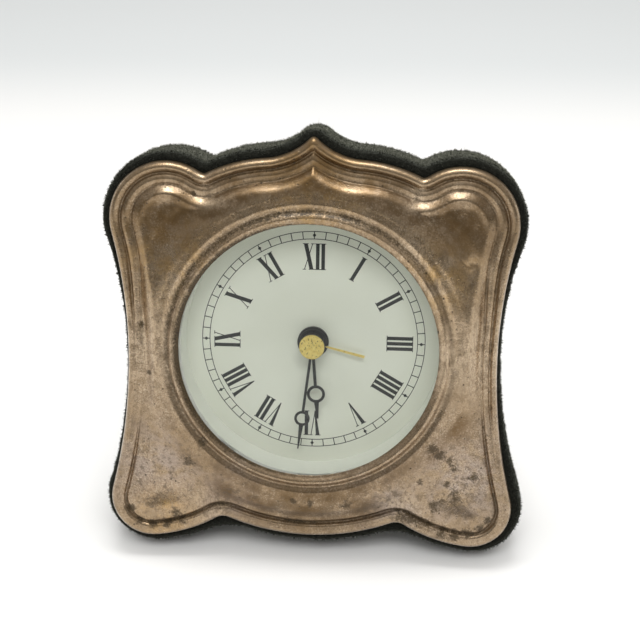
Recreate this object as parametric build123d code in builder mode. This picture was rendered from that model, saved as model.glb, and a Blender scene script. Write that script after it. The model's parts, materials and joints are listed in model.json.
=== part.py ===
from build123d import *
import math
import os

os.makedirs("parts", exist_ok=True)

# Photo frame clock: a pressed silver front on a velvet-covered block, a glazed dial with three hands,
# a quartz alarm movement behind it and a hinged easel strut. On the face u runs right, v runs up it
# and w comes out of it. All positions (u, v) are measured from the dial's axis.

# Stand
lean = 15.0
strut_spread = 30.0
foot_flat_depth = 0.7

# Silver edge, right half
tip_height = 56.1
silver_tip_round = 1.3
silver_notch_round = 1.0
shoulder_across = 12.5
shoulder_drop = 6.25
shoulder_slope = 4.0
lobe_across = 37.8
lobe_height = 33.5
lobe_radius = 15.2
lobe_notch_angle = 128.6
waist_half = 48.85
waist_drop = 0.5
foot_across = 43.5
foot_drop = 43.9
foot_radius = 11.2
foot_heel_angle = 263.0
base_notch_across = 24.0
base_notch_drop = 48.3
base_notch_radius = 3.0
base_drop = 53.35
same_spot = 0.01

# Silver relief
sheet = 0.5
bead_width = 3.0
bead_height = 2.4
bead_round = 1.0
band_width = 3.2
band_height = 1.6
field_height = 3.2
field_round = 0.9
collar_gap = 0.2
collar_shoulder = 5.3
groove_width = 1.6
groove_height = 4.9
ring_width = 4.4
ring_height = 6.0
lip_height = 5.4
opening_radius = 33.6

# Block and velvet
block_depth = 22.0
velvet = 0.9
velvet_overhang = 2.0
velvet_tip_round = 5.0
velvet_notch_round = 2.0
velvet_waist_inset = 1.25
velvet_flange = 5.0
back_round = 4.0
front_round = 1.6

# Glass, spacer and dial
glass_margin = 2.8
glass_thickness = 1.8
spacer_wall = 2.0
dial_depth = 11.6
dial_thickness = 0.8
seat_clearance = 0.4

# Hands
alarm_hand_lift = 1.6
hour_hand_lift = 3.0
minute_hand_lift = 4.4
hand_thickness = 0.25
hand_fit = 0.02
minute_angle = 187.0
minute_length = 29.0
minute_ring_at = 20.3
minute_ring_radius = 2.03
minute_stem = 0.7
hour_angle = 175.5
hour_length = 20.3
hour_ring_at = 13.8
hour_ring_radius = 2.33
hour_stem = 0.9
ring_line = 0.6
alarm_angle = 104.0
alarm_length = 14.3
alarm_stem = 0.55
hub_radius = 3.0
hub_height = 1.0
cap_radius = 3.35
cap_height = 1.2
cap_round = 0.4
nut_radius = 4.2
nut_height = 1.0

# Movement case
case_drop = 2.0
case_corner = 3.0
case_wall = 1.2
case_depth = 15.0
case_split = 7.0
case_clearance = 0.5
bay_height = 15.0
bay_wall = 0.8
bay_floor = 0.4
boss_radius = 1.6
boss_inset = 2.0
case_screw_radius = 0.8
screw_head_radius = 1.4
screw_head_height = 0.7
train_gap = 0.2
fit = 0.05

# Nested tubes at the dial's axis
arbor_radius = 0.5
idler_collar_radius = 1.0
centre_pipe_radius = 1.0
cannon_radius = 1.7
hour_tube_radius = 2.3
alarm_tube_radius = 2.9
bush_radius = 3.8
tube_fit = 0.1
bush_height = 1.0

# Depths behind the case's front plate
wheel_thickness = 0.9
alarm_wheel_depth = 0.3
hour_wheel_depth = 1.6
minute_wheel_depth = 2.9
bridge_depth = 4.3
bridge_thickness = 1.0
centre_wheel_depth = 5.7
third_wheel_depth = 6.9
seconds_wheel_depth = 8.1
intermediate_wheel_depth = 9.3
pivot_depth = 11.8
pivot_boss_radius = 1.1
pivot_length = 0.7
plate_pivot = 0.6

# Gearing
motion_module = 0.4
going_module = 0.25
backlash = 0.16
addendum = 0.8
dedendum = 1.05
pressure_angle = 25.0
cannon_teeth = 12
minute_teeth = 36
minute_pinion_teeth = 10
hour_teeth = 40
time_set_teeth = 12
alarm_teeth = 40
alarm_set_teeth = 46
rotor_teeth = 10
intermediate_teeth = 60
intermediate_pinion_teeth = 12
seconds_teeth = 60
seconds_pinion_teeth = 8
third_teeth = 60
third_pinion_teeth = 8
centre_teeth = 64
minute_direction = 200.0
time_set_direction = 180.0
alarm_set_direction = -9.0
third_direction = 150.0
intermediate_direction = 60.0
rotor_direction = 45.0

# Motor, circuit and sounder
magnet_radius = 2.9
magnet_depth = 6.2
magnet_height = 2.6
stator_gap = 0.4
stator_depth = 7.0
stator_thickness = 1.0
stator_limb = 3.0
stator_left = 8.3
stator_right = 11.9
stator_below = 4.6
core_width = 2.8
core_thickness = 1.2
coil_radius = 2.6
coil_margin = 0.8
board_depth = 8.6
board_thickness = 1.0
board_width = 16.0
board_height = 11.0
board_at = (-14.2, 18.6)
board_post_radius = 1.0
board_post_inset = 2.0
crystal_radius = 1.0
crystal_length = 6.0
chip_radius = 3.0
chip_height = 0.9
buzzer_at = (-17.0, 15.5)
buzzer_radius = 8.0
buzzer_height = 3.2
pillar_radius = 1.2
pillar_spots = [(0.0, -11.7), (-8.0, 12.0), (12.0, 12.0)]
bridge_half_width = 15.0
bridge_top = 17.0
bridge_bottom = 12.9

# Battery and contacts
battery_radius = 7.15
battery_length = 49.1
nub_radius = 2.7
nub_length = 1.4
contact_gap = 1.55
contact_thickness = 0.4
contact_width = 10.0
contact_button = 2.4

# Controls on the back
set_shaft_radius = 1.2
knob_radius = 4.0
knob_height = 2.2
knob_gap = 0.3
knob_grooves = 18
knob_groove_radius = 0.35
switch_at = (18.0, 16.0)
switch_travel = 4.0
switch_width = 4.6
switch_height = 3.6
switch_lip = 1.0
switch_lift = 1.5
switch_gap = 0.15
switch_plate = 0.6

# Clips that hold the movement in the block
clip_width = 8.0
clip_thickness = 0.8
clip_grip = 2.5
clip_reach = 8.0
clip_height = 4.0
clip_round = 2.0
clip_screw_radius = 1.0
clip_screw_length = 9.0
clip_screw_head = 2.0

# Easel strut and hinge
hinge_height = 40.0
hinge_standoff = 1.8
barrel_radius = 1.6
pin_radius = 0.8
leaf_thickness = 0.8
leaf_half_width = 8.0
leaf_length = 9.0
knuckle_half = 3.0
knuckle_gap = 0.2
leaf_gap = 0.5
strut_gap = 0.6
strut_board_thickness = 3.0
strut_velvet_thickness = 0.8
strut_top_width = 18.0
strut_bottom_width = 28.0
strut_top_gap = 0.6
leaf_screw_radius = 0.9
leaf_screw_length = 7.0
leaf_screw_head = 1.8
leaf_screw_across = 5.0
leaf_screw_along = 6.0

# Places worked out from the sizes above
sin_lean = math.sin(math.radians(lean))
cos_lean = math.cos(math.radians(lean))
strut_lean = lean - strut_spread
foot_bottom = foot_drop + foot_radius
block_bottom = foot_bottom + velvet_overhang
dial_height = (
    (block_bottom - back_round) * cos_lean
    + (block_depth - back_round) * sin_lean
    + back_round
    - foot_flat_depth
)
hinge_set = block_depth + hinge_standoff
hinge_rise = dial_height + hinge_height * cos_lean - hinge_set * sin_lean
hinge_back = hinge_height * sin_lean + hinge_set * cos_lean
strut_front = hinge_standoff - strut_gap
strut_rear = strut_board_thickness + strut_velvet_thickness - strut_front
strut_angle = math.radians(strut_spread - lean)
front_reach = (
    (foot_bottom - bead_round) * sin_lean
    + (bead_height - bead_round) * cos_lean
    + bead_round
)
rear_reach = (
    hinge_back
    + (hinge_rise + strut_rear * math.sin(strut_angle)) * math.tan(strut_angle)
    + strut_rear * math.cos(strut_angle)
)
stand_centre = (rear_reach - front_reach) / 2

glass_radius = opening_radius + glass_margin
glass_front = lip_height - sheet
dial_front = lip_height - dial_depth
dial_back = dial_front - dial_thickness
plate_back = dial_back - case_wall
case_back = dial_back - case_depth
split_level = dial_back - case_split
battery_half = (battery_length + nub_length) / 2
alarm_set_distance = (alarm_teeth + alarm_set_teeth) * motion_module / 2
alarm_set_reach = (
    alarm_set_distance * math.cos(math.radians(alarm_set_direction))
    + (alarm_set_teeth / 2 + addendum) * motion_module
)
# the case is as wide as its battery or its widest wheel needs
inner_half = max(battery_half + contact_gap, alarm_set_reach + train_gap)
case_side = 2 * (inner_half + case_wall)
case_bottom = case_drop + case_side / 2
bay_bottom = case_bottom - case_wall
bay_top = bay_bottom - bay_height
case_top = case_side / 2 - case_drop
field_inset = bead_width + band_width
collar_radius = waist_half - field_inset - collar_gap
cap_front = dial_front + minute_hand_lift + hand_thickness + cap_height


def leaning_plane(origin, angle):
    # y runs up a surface that leans back by the angle, z faces the viewer
    tilt = math.radians(angle)
    return Plane(origin=origin, x_dir=(1, 0, 0), z_dir=(0, -math.cos(tilt), math.sin(tilt)))


face = leaning_plane((0, -stand_centre, dial_height), lean)
dial_axis = Axis(face.origin, face.z_dir)
section = Plane(origin=face.origin, x_dir=(1, 0, 0), z_dir=-face.y_dir)
strut_plane = leaning_plane((0, hinge_back - stand_centre, hinge_rise), strut_lean)


def polar(radius, degrees, start=(0.0, 0.0)):
    angle = math.radians(degrees)
    return (start[0] + radius * math.cos(angle), start[1] + radius * math.sin(angle))


def behind_plate(depth):
    return face.offset(plate_back - depth)


def finish(builder, name):
    builder.part.label = name
    export_step(builder.part, f"parts/{name}.step")


# Outlines of the silver and of the block under it
def join_on_circle(centre, radius, gap, rise):
    # where the waist's long arc runs into a corner circle
    reach = (gap**2 + rise**2 - radius**2) / (2 * (radius - gap))
    scale = radius / (reach + radius)
    return (centre[0] + (reach + gap) * scale, centre[1] - rise * scale)


def silver_outline(grow=0.0, tip_round=silver_tip_round, notch_round=silver_notch_round, half=waist_half):
    lobe = (lobe_across, lobe_height)
    foot = (foot_across, -foot_drop)
    tip = (0, tip_height)
    shoulder = (shoulder_across, tip_height - shoulder_drop)
    slope = math.radians(shoulder_slope)
    notch = polar(lobe_radius, lobe_notch_angle, lobe)
    waist = (half, -waist_drop)
    lobe_join = join_on_circle(lobe, lobe_radius, half - lobe_across, lobe_height + waist_drop)
    foot_join = join_on_circle(foot, foot_radius, half - foot_across, waist_drop - foot_drop)
    heel = polar(foot_radius, foot_heel_angle, foot)
    heel_slope = math.radians(foot_heel_angle)
    base_notch = (base_notch_across, -base_notch_drop)
    with BuildSketch() as outline:
        with BuildLine():
            TangentArc(shoulder, tip, tangent=(-math.cos(slope), math.sin(slope)))
            TangentArc(shoulder, notch, tangent=(math.cos(slope), -math.sin(slope)))
            ThreePointArc(notch, polar(lobe_radius, 45, lobe), lobe_join)
            TangentArc(waist, lobe_join, tangent=(0, 1))
            TangentArc(waist, foot_join, tangent=(0, -1))
            ThreePointArc(foot_join, polar(foot_radius, 315, foot), heel)
            TangentArc(heel, base_notch, tangent=(math.sin(heel_slope), -math.cos(heel_slope)))
            TangentArc((0, -base_drop), base_notch, tangent=(1, 0))
            mirror(about=Plane.YZ)
        make_face()
        corners = [(base_notch, base_notch_radius), (tip, tip_round), (notch, notch_round)]
        for corner, radius in corners:
            spots = outline.vertices().filter_by(
                lambda spot: math.hypot(abs(spot.X) - corner[0], spot.Y - corner[1]) < same_spot
            )
            fillet(spots, radius)
        if grow != 0.0:
            offset(amount=grow, kind=Kind.INTERSECTION)
    return outline.sketch


def block_outline(skin):
    # the silver's outline grown to the velvet's, less a skin: softer tip and notches, slimmer waist
    return silver_outline(
        velvet_overhang - skin,
        velvet_tip_round - velvet_overhang,
        velvet_notch_round + velvet_overhang,
        waist_half - velvet_waist_inset,
    )


def block_solid(skin):
    with BuildPart() as body:
        with BuildSketch(face.offset(skin - block_depth)):
            add(block_outline(skin))
        extrude(amount=block_depth - 2 * skin)
        ends = body.faces().filter_by(dial_axis).sort_by(dial_axis)
        fillet(ends[0].edges(), back_round - skin)
        ends = body.faces().filter_by(dial_axis).sort_by(dial_axis)
        fillet(ends[-1].edges(), front_round - skin)
    return body.part


# Toothed wheels
def gear(teeth, module, phase=0.0):
    # involute flanks as three points each, thinned by the backlash
    pitch = teeth * module / 2
    base = pitch * math.cos(math.radians(pressure_angle))
    involute = math.tan(math.radians(pressure_angle)) - math.radians(pressure_angle)
    half_tooth = math.pi / (2 * teeth) - backlash * module / (2 * pitch)
    levels = [pitch - dedendum * module, pitch, pitch + addendum * module]
    flank = []
    for radius in levels:
        slant = math.acos(min(1.0, base / radius))
        flank.append((radius, half_tooth + involute - (math.tan(slant) - slant)))
    points = []
    for tooth in range(teeth):
        middle = math.radians(phase) + 2 * math.pi * tooth / teeth
        for radius, angle in flank:
            points.append((radius * math.cos(middle - angle), radius * math.sin(middle - angle)))
        for radius, angle in reversed(flank):
            points.append((radius * math.cos(middle + angle), radius * math.sin(middle + angle)))
    with BuildSketch() as wheel:
        with BuildLine():
            Polyline(*points, close=True)
        make_face()
    return wheel.sketch


def meshed_phase(phase, teeth, next_teeth, direction):
    # turn of the next wheel that puts its gap on this wheel's tooth, along their line of centres
    return direction + 180 + 180 / next_teeth - (phase - direction) * teeth / next_teeth


motion_distance = (cannon_teeth + minute_teeth) * motion_module / 2
hour_module = 2 * motion_distance / (minute_pinion_teeth + hour_teeth)
minute_spot = polar(motion_distance, minute_direction)
time_set_distance = (minute_teeth + time_set_teeth) * motion_module / 2
time_set_spot = polar(time_set_distance, time_set_direction, minute_spot)
alarm_set_spot = polar(alarm_set_distance, alarm_set_direction)
third_distance = (seconds_pinion_teeth + third_teeth) * going_module / 2
centre_module = 2 * third_distance / (third_pinion_teeth + centre_teeth)
third_spot = polar(third_distance, third_direction)
intermediate_distance = (intermediate_pinion_teeth + seconds_teeth) * going_module / 2
intermediate_spot = polar(intermediate_distance, intermediate_direction)
rotor_distance = (rotor_teeth + intermediate_teeth) * going_module / 2
rotor_spot = polar(rotor_distance, rotor_direction, intermediate_spot)

minute_phase = meshed_phase(0, cannon_teeth, minute_teeth, minute_direction)
time_set_phase = meshed_phase(minute_phase, minute_teeth, time_set_teeth, time_set_direction)
hour_phase = meshed_phase(0, minute_pinion_teeth, hour_teeth, minute_direction + 180)
alarm_set_phase = meshed_phase(0, alarm_teeth, alarm_set_teeth, alarm_set_direction)
third_phase = meshed_phase(0, seconds_pinion_teeth, third_teeth, third_direction)
centre_phase = meshed_phase(0, third_pinion_teeth, centre_teeth, third_direction + 180)
intermediate_pinion_phase = meshed_phase(
    0, seconds_teeth, intermediate_pinion_teeth, intermediate_direction
)
rotor_phase = meshed_phase(0, intermediate_teeth, rotor_teeth, rotor_direction)


def add_wheel(spot, depth, teeth, module, phase):
    with BuildSketch(behind_plate(depth)) as blank:
        with Locations(spot):
            add(gear(teeth, module, phase))
    extrude(blank.sketch, amount=-wheel_thickness)


def add_rod(spot, start, end, radius, mode=Mode.ADD):
    # round rod along the dial's axis between two levels of w
    with BuildSketch(face.offset(start)) as round_end:
        with Locations(spot):
            Circle(radius)
    extrude(round_end.sketch, amount=end - start, mode=mode)


def add_tube(start, end, outer, inner):
    with BuildSketch(face.offset(start)) as wall:
        Circle(outer)
        Circle(inner, mode=Mode.SUBTRACT)
    extrude(wall.sketch, amount=end - start)


# Silver front
def raised_pad(inset, height, rounding):
    # flat pad of the silver's outline, rounded along its upper edge
    with BuildPart() as pad:
        with BuildSketch(face):
            add(silver_outline(-inset))
        extrude(amount=height)
        top = pad.faces().sort_by(dial_axis)[-1]
        fillet(top.edges(), rounding)
    return pad.part


with BuildPart() as silver_front:
    add(raised_pad(0.0, bead_height, bead_round))
    with BuildSketch(face.offset(band_height)):
        add(silver_outline(-bead_width))
    extrude(amount=bead_height, mode=Mode.SUBTRACT)
    add(raised_pad(field_inset, field_height, field_round))
    with BuildSketch(section):
        ring_edge = opening_radius + ring_width
        groove_edge = ring_edge + groove_width
        with BuildLine():
            ThreePointArc(
                (opening_radius, lip_height),
                (opening_radius + ring_width / 2, ring_height),
                (ring_edge, groove_height),
            )
            Line((ring_edge, groove_height), (groove_edge, collar_shoulder))
            TangentArc((groove_edge, collar_shoulder), (collar_radius, field_height - sheet), tangent=(1, 0))
            Polyline(
                (collar_radius, field_height - sheet),
                (collar_radius, 0),
                (opening_radius, 0),
                (opening_radius, lip_height),
            )
        make_face()
    revolve(axis=dial_axis)
    with BuildSketch(face):
        add(silver_outline(-sheet))
    extrude(amount=band_height - sheet, mode=Mode.SUBTRACT)
    with BuildSketch(face):
        add(silver_outline(-field_inset - sheet))
    extrude(amount=field_height - 2 * sheet, mode=Mode.SUBTRACT)
    with BuildSketch(section):
        with BuildLine():
            Polyline(
                (0, 0),
                (collar_radius - sheet, 0),
                (collar_radius - sheet, field_height - 3 * sheet),
                (groove_edge, groove_height - sheet),
                (glass_radius + seat_clearance, groove_height - sheet),
                (glass_radius + seat_clearance, glass_front),
                (0, glass_front),
                close=True,
            )
        make_face()
    revolve(axis=dial_axis, mode=Mode.SUBTRACT)
    with BuildSketch(face):
        Circle(opening_radius)
    extrude(amount=ring_height, mode=Mode.SUBTRACT)
finish(silver_front, "silver_front")

# Wood block, bored for the dial and cut square for the movement
clip_screw_at = case_side / 2 + case_clearance + clip_reach / 2
clip_screw_spots = [(-clip_screw_at, clip_height), (clip_screw_at, clip_height)]
leaf_screw_spots = [
    (-leaf_screw_across, hinge_height + leaf_screw_along),
    (leaf_screw_across, hinge_height + leaf_screw_along),
]


def cut_back_holes():
    # movement's square and the pilot holes, through the back
    with BuildSketch(face.offset(-block_depth)) as square:
        with Locations((0, -case_drop)):
            RectangleRounded(case_side + 2 * case_clearance, case_side + 2 * case_clearance, case_corner)
    extrude(square.sketch, amount=block_depth + dial_back, mode=Mode.SUBTRACT)
    for spot in clip_screw_spots:
        add_rod(spot, -block_depth, -block_depth + clip_screw_length, clip_screw_radius, Mode.SUBTRACT)
    for spot in leaf_screw_spots:
        add_rod(spot, -block_depth, -block_depth + leaf_screw_length, leaf_screw_radius, Mode.SUBTRACT)


with BuildPart() as wood_block:
    add(block_solid(velvet))
    add_rod((0, 0), dial_back, 0, glass_radius + seat_clearance, Mode.SUBTRACT)
    cut_back_holes()
finish(wood_block, "wood_block")

with BuildPart() as velvet_cover:
    add(block_solid(0.0))
    add(block_solid(velvet), mode=Mode.SUBTRACT)
    with BuildSketch(face.offset(-velvet)):
        add(silver_outline(-velvet_flange))
    extrude(amount=velvet, mode=Mode.SUBTRACT)
    cut_back_holes()
    split(bisect_by=Plane.XY, keep=Keep.TOP)
finish(velvet_cover, "velvet_cover")

# Glass, white spacer and dial
with BuildPart() as glass:
    add_rod((0, 0), glass_front - glass_thickness, glass_front, glass_radius)
finish(glass, "glass")

with BuildPart() as spacer_ring:
    add_tube(dial_front, glass_front - glass_thickness, glass_radius, glass_radius - spacer_wall)
finish(spacer_ring, "spacer_ring")

with BuildPart() as dial:
    add_tube(dial_back, dial_front, glass_radius, bush_radius + tube_fit)
finish(dial, "dial")

with BuildPart() as centre_nut:
    add_tube(dial_front, dial_front + nut_height, nut_radius, bush_radius + hand_fit)
finish(centre_nut, "centre_nut")


# Hands
def hand_plane(lift, clock_angle):
    # y runs along a hand, at a height above the dial
    turn = math.radians(clock_angle)
    across = face.x_dir * math.cos(turn) - face.y_dir * math.sin(turn)
    return Plane(origin=face.offset(dial_front + lift).origin, x_dir=across, z_dir=face.z_dir)


def add_hand(clock_angle, lift, length, ring_at, ring_radius, stem):
    # slim stem, an open ring and a fine point
    with BuildSketch(hand_plane(lift, clock_angle)) as shape:
        with BuildLine():
            Polyline(
                (-stem / 2, 0),
                (-stem / 2, ring_at),
                (-stem / 6, length),
                (stem / 6, length),
                (stem / 2, ring_at),
                (stem / 2, 0),
                close=True,
            )
        make_face()
        Circle(hub_radius)
        with Locations((0, ring_at)):
            Circle(ring_radius)
            Circle(ring_radius - ring_line, mode=Mode.SUBTRACT)
    extrude(shape.sketch, amount=hand_thickness)


def add_hub(lift, tube_radius):
    # hub under a hand, bored for its tube
    level = dial_front + lift
    add_rod((0, 0), level - hub_height, level, hub_radius)
    bore = tube_radius + hand_fit
    add_rod((0, 0), level - hub_height, level + hand_thickness, bore, Mode.SUBTRACT)


with BuildPart() as minute_hand:
    add_hand(minute_angle, minute_hand_lift, minute_length, minute_ring_at, minute_ring_radius, minute_stem)
    add_hub(minute_hand_lift, cannon_radius)
finish(minute_hand, "minute_hand")

with BuildPart() as hour_hand:
    add_hand(hour_angle, hour_hand_lift, hour_length, hour_ring_at, hour_ring_radius, hour_stem)
    add_hub(hour_hand_lift, hour_tube_radius)
finish(hour_hand, "hour_hand")

with BuildPart() as alarm_hand:
    with BuildSketch(hand_plane(alarm_hand_lift, alarm_angle)):
        with Locations((0, alarm_length / 2)):
            Rectangle(alarm_stem, alarm_length)
        Circle(bush_radius)
        Circle(alarm_tube_radius + hand_fit, mode=Mode.SUBTRACT)
    extrude(amount=hand_thickness)
finish(alarm_hand, "alarm_hand")

with BuildPart() as centre_cap:
    add_rod((0, 0), cap_front - cap_height, cap_front, cap_radius)
    top = centre_cap.faces().sort_by(dial_axis)[-1]
    fillet(top.edges(), cap_round)
finish(centre_cap, "centre_cap")


# Movement case
def case_outline(inset):
    with BuildSketch() as outline:
        side = case_side - 2 * inset
        with Locations((0, -case_drop)):
            RectangleRounded(side, side, case_corner - inset)
    return outline.sketch


boss_across = inner_half - boss_inset
boss_spots = [
    (-boss_across, case_top - case_wall - boss_inset),
    (boss_across, case_top - case_wall - boss_inset),
    (-boss_across, -bay_top + bay_wall + boss_inset),
    (boss_across, -bay_top + bay_wall + boss_inset),
]
bay_middle = -(bay_bottom + bay_top) / 2
shaft_front = plate_back + plate_pivot

with BuildPart() as movement_plate:
    with BuildSketch(face.offset(split_level)):
        add(case_outline(0))
    extrude(amount=case_split)
    with BuildSketch(face.offset(split_level)):
        add(case_outline(case_wall))
    extrude(amount=case_split - case_wall, mode=Mode.SUBTRACT)
    for spot in boss_spots:
        add_rod(spot, split_level, plate_back, boss_radius)
    for spot in boss_spots:
        add_rod(spot, split_level, plate_back, case_screw_radius + fit, Mode.SUBTRACT)
    for spot in pillar_spots:
        add_rod(spot, plate_back - bridge_depth, plate_back, pillar_radius)
    add_rod((0, 0), plate_back, dial_front + bush_height, bush_radius)
    add_rod((0, 0), plate_back, dial_front + bush_height, alarm_tube_radius + tube_fit, Mode.SUBTRACT)
    for spot in [time_set_spot, alarm_set_spot]:
        add_rod(spot, plate_back, shaft_front, set_shaft_radius + fit, Mode.SUBTRACT)
    add_rod(minute_spot, plate_back, shaft_front, arbor_radius + fit, Mode.SUBTRACT)
    with BuildSketch(face.offset(plate_back)):
        with Locations((0, bay_middle)):
            Rectangle(2 * inner_half, bay_height)
    extrude(amount=case_wall - bay_floor, mode=Mode.SUBTRACT)
finish(movement_plate, "movement_plate")

with BuildPart() as movement_cover:
    with BuildSketch(face.offset(case_back)):
        add(case_outline(0))
    extrude(amount=split_level - case_back)
    with BuildSketch(face.offset(case_back + case_wall)):
        add(case_outline(case_wall))
    extrude(amount=split_level - case_back - case_wall, mode=Mode.SUBTRACT)
    with BuildSketch(face.offset(case_back)):
        with Locations((0, -bay_top + bay_wall / 2)):
            Rectangle(2 * (inner_half - tube_fit), bay_wall)
    extrude(amount=plate_back - case_back)
    with BuildSketch(face.offset(case_back)):
        with Locations((0, bay_middle)):
            Rectangle(2 * inner_half, bay_height)
    extrude(amount=case_wall, mode=Mode.SUBTRACT)
    for spot in boss_spots:
        add_rod(spot, case_back, split_level, boss_radius)
    for spot in boss_spots:
        add_rod(spot, case_back, split_level, case_screw_radius + fit, Mode.SUBTRACT)
        add_rod(spot, case_back, case_back + screw_head_height, screw_head_radius + fit, Mode.SUBTRACT)
    pivot_level = plate_back - pivot_depth
    for spot in [(0, 0), third_spot, intermediate_spot, rotor_spot]:
        add_rod(spot, case_back, pivot_level + pivot_length, pivot_boss_radius)
        add_rod(spot, pivot_level, pivot_level + pivot_length, arbor_radius + fit, Mode.SUBTRACT)
    for side in (-1, 1):
        post = (board_at[0] + side * (board_width / 2 - board_post_inset), board_at[1])
        add_rod(post, case_back, plate_back - board_depth - board_thickness, board_post_radius)
    for spot in [time_set_spot, alarm_set_spot]:
        add_rod(spot, case_back, case_back + case_wall, set_shaft_radius + fit, Mode.SUBTRACT)
    with BuildSketch(face.offset(case_back)):
        with Locations((switch_at[0] + switch_travel / 2, switch_at[1])):
            Rectangle(switch_width + switch_travel + 2 * switch_gap, switch_height + 2 * switch_gap)
    extrude(amount=case_wall, mode=Mode.SUBTRACT)
finish(movement_cover, "movement_cover")

with BuildPart() as case_screws:
    for spot in boss_spots:
        add_rod(spot, case_back, plate_back, case_screw_radius)
        add_rod(spot, case_back, case_back + screw_head_height, screw_head_radius)
finish(case_screws, "case_screws")

# Motion work: the nested tubes that carry the hands
with BuildPart() as alarm_wheel:
    add_wheel((0, 0), alarm_wheel_depth, alarm_teeth, motion_module, 0)
    tube_end = dial_front + alarm_hand_lift + hand_thickness
    add_rod((0, 0), plate_back - alarm_wheel_depth, tube_end, alarm_tube_radius)
    bore = hour_tube_radius + tube_fit
    add_rod((0, 0), plate_back - alarm_wheel_depth - wheel_thickness, tube_end, bore, Mode.SUBTRACT)
finish(alarm_wheel, "alarm_wheel")

with BuildPart() as hour_wheel:
    add_wheel((0, 0), hour_wheel_depth, hour_teeth, hour_module, hour_phase)
    tube_end = dial_front + hour_hand_lift + hand_thickness
    add_rod((0, 0), plate_back - hour_wheel_depth, tube_end, hour_tube_radius)
    bore = cannon_radius + tube_fit
    add_rod((0, 0), plate_back - hour_wheel_depth - wheel_thickness, tube_end, bore, Mode.SUBTRACT)
finish(hour_wheel, "hour_wheel")

with BuildPart() as cannon_pinion:
    add_wheel((0, 0), minute_wheel_depth, cannon_teeth, motion_module, 0)
    tube_end = dial_front + minute_hand_lift + hand_thickness
    add_rod((0, 0), plate_back - minute_wheel_depth, tube_end, cannon_radius)
    bore = centre_pipe_radius + fit
    add_rod((0, 0), plate_back - minute_wheel_depth - wheel_thickness, tube_end, bore, Mode.SUBTRACT)
finish(cannon_pinion, "cannon_pinion")

with BuildPart() as minute_wheel:
    add_wheel(minute_spot, minute_wheel_depth, minute_teeth, motion_module, minute_phase)
    add_wheel(minute_spot, hour_wheel_depth, minute_pinion_teeth, hour_module, 0)
    add_rod(minute_spot, plate_back - bridge_depth - bridge_thickness, shaft_front, arbor_radius)
    add_rod(minute_spot, plate_back - minute_wheel_depth, plate_back - hour_wheel_depth, idler_collar_radius)
finish(minute_wheel, "minute_wheel")

with BuildPart() as train_bridge:
    with BuildSketch(behind_plate(bridge_depth)):
        with Locations((0, (bridge_top - bridge_bottom) / 2)):
            Rectangle(2 * bridge_half_width, bridge_top + bridge_bottom)
        Circle(centre_pipe_radius + tube_fit, mode=Mode.SUBTRACT)
        with Locations(minute_spot, third_spot, intermediate_spot, rotor_spot):
            Circle(arbor_radius + fit, mode=Mode.SUBTRACT)
    extrude(amount=-bridge_thickness)
finish(train_bridge, "train_bridge")

# Going train, from the centre wheel back to the motor
bridge_front = plate_back - bridge_depth

with BuildPart() as centre_wheel:
    add_wheel((0, 0), centre_wheel_depth, centre_teeth, centre_module, centre_phase)
    pipe_front = plate_back - hour_wheel_depth
    add_rod((0, 0), plate_back - centre_wheel_depth, pipe_front, centre_pipe_radius)
    bore = arbor_radius + fit
    add_rod((0, 0), plate_back - centre_wheel_depth - wheel_thickness, pipe_front, bore, Mode.SUBTRACT)
finish(centre_wheel, "centre_wheel")

with BuildPart() as third_wheel:
    add_wheel(third_spot, third_wheel_depth, third_teeth, going_module, third_phase)
    add_wheel(third_spot, centre_wheel_depth, third_pinion_teeth, centre_module, 0)
    add_rod(third_spot, pivot_level, bridge_front, arbor_radius)
finish(third_wheel, "third_wheel")

with BuildPart() as seconds_wheel:
    add_wheel((0, 0), seconds_wheel_depth, seconds_teeth, going_module, 0)
    add_wheel((0, 0), third_wheel_depth, seconds_pinion_teeth, going_module, 0)
    add_rod((0, 0), pivot_level, plate_back - minute_wheel_depth, arbor_radius)
finish(seconds_wheel, "seconds_wheel")

with BuildPart() as intermediate_wheel:
    add_wheel(intermediate_spot, intermediate_wheel_depth, intermediate_teeth, going_module, 0)
    add_wheel(
        intermediate_spot,
        seconds_wheel_depth,
        intermediate_pinion_teeth,
        going_module,
        intermediate_pinion_phase,
    )
    add_rod(intermediate_spot, pivot_level, bridge_front, arbor_radius)
finish(intermediate_wheel, "intermediate_wheel")

with BuildPart() as rotor:
    add_wheel(rotor_spot, intermediate_wheel_depth, rotor_teeth, going_module, rotor_phase)
    magnet_front = plate_back - magnet_depth
    add_rod(rotor_spot, magnet_front - magnet_height, magnet_front, magnet_radius)
    add_rod(rotor_spot, pivot_level, bridge_front, arbor_radius)
finish(rotor, "rotor")

# Motor iron and coil
stator_left_edge = rotor_spot[0] - stator_left
stator_right_edge = rotor_spot[0] + stator_right
stator_middle = (stator_left_edge + stator_right_edge) / 2
stator_bottom = rotor_spot[1] - stator_below
stator_bar_top = rotor_spot[1] + stator_below
core_level = case_top - case_wall - coil_radius - tube_fit
core_top = core_level + core_width / 2
core_front = plate_back - stator_depth - stator_thickness
core_half = (stator_right_edge - stator_left_edge) / 2
coil_half = core_half - stator_limb - coil_margin

with BuildPart() as stator:
    with BuildSketch(behind_plate(stator_depth)):
        with Locations((stator_middle, (stator_bottom + core_top) / 2)):
            Rectangle(2 * core_half, core_top - stator_bottom)
        with Locations((stator_middle, (stator_bar_top + core_top) / 2)):
            Rectangle(2 * (core_half - stator_limb), core_top - stator_bar_top, mode=Mode.SUBTRACT)
        with Locations(rotor_spot):
            Circle(magnet_radius + stator_gap, mode=Mode.SUBTRACT)
    extrude(amount=-stator_thickness)
finish(stator, "stator")

with BuildPart() as coil_core:
    with BuildSketch(face.offset(core_front)):
        with Locations((stator_middle, core_level)):
            Rectangle(2 * core_half, core_width)
    extrude(amount=-core_thickness)
finish(coil_core, "coil_core")

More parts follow.
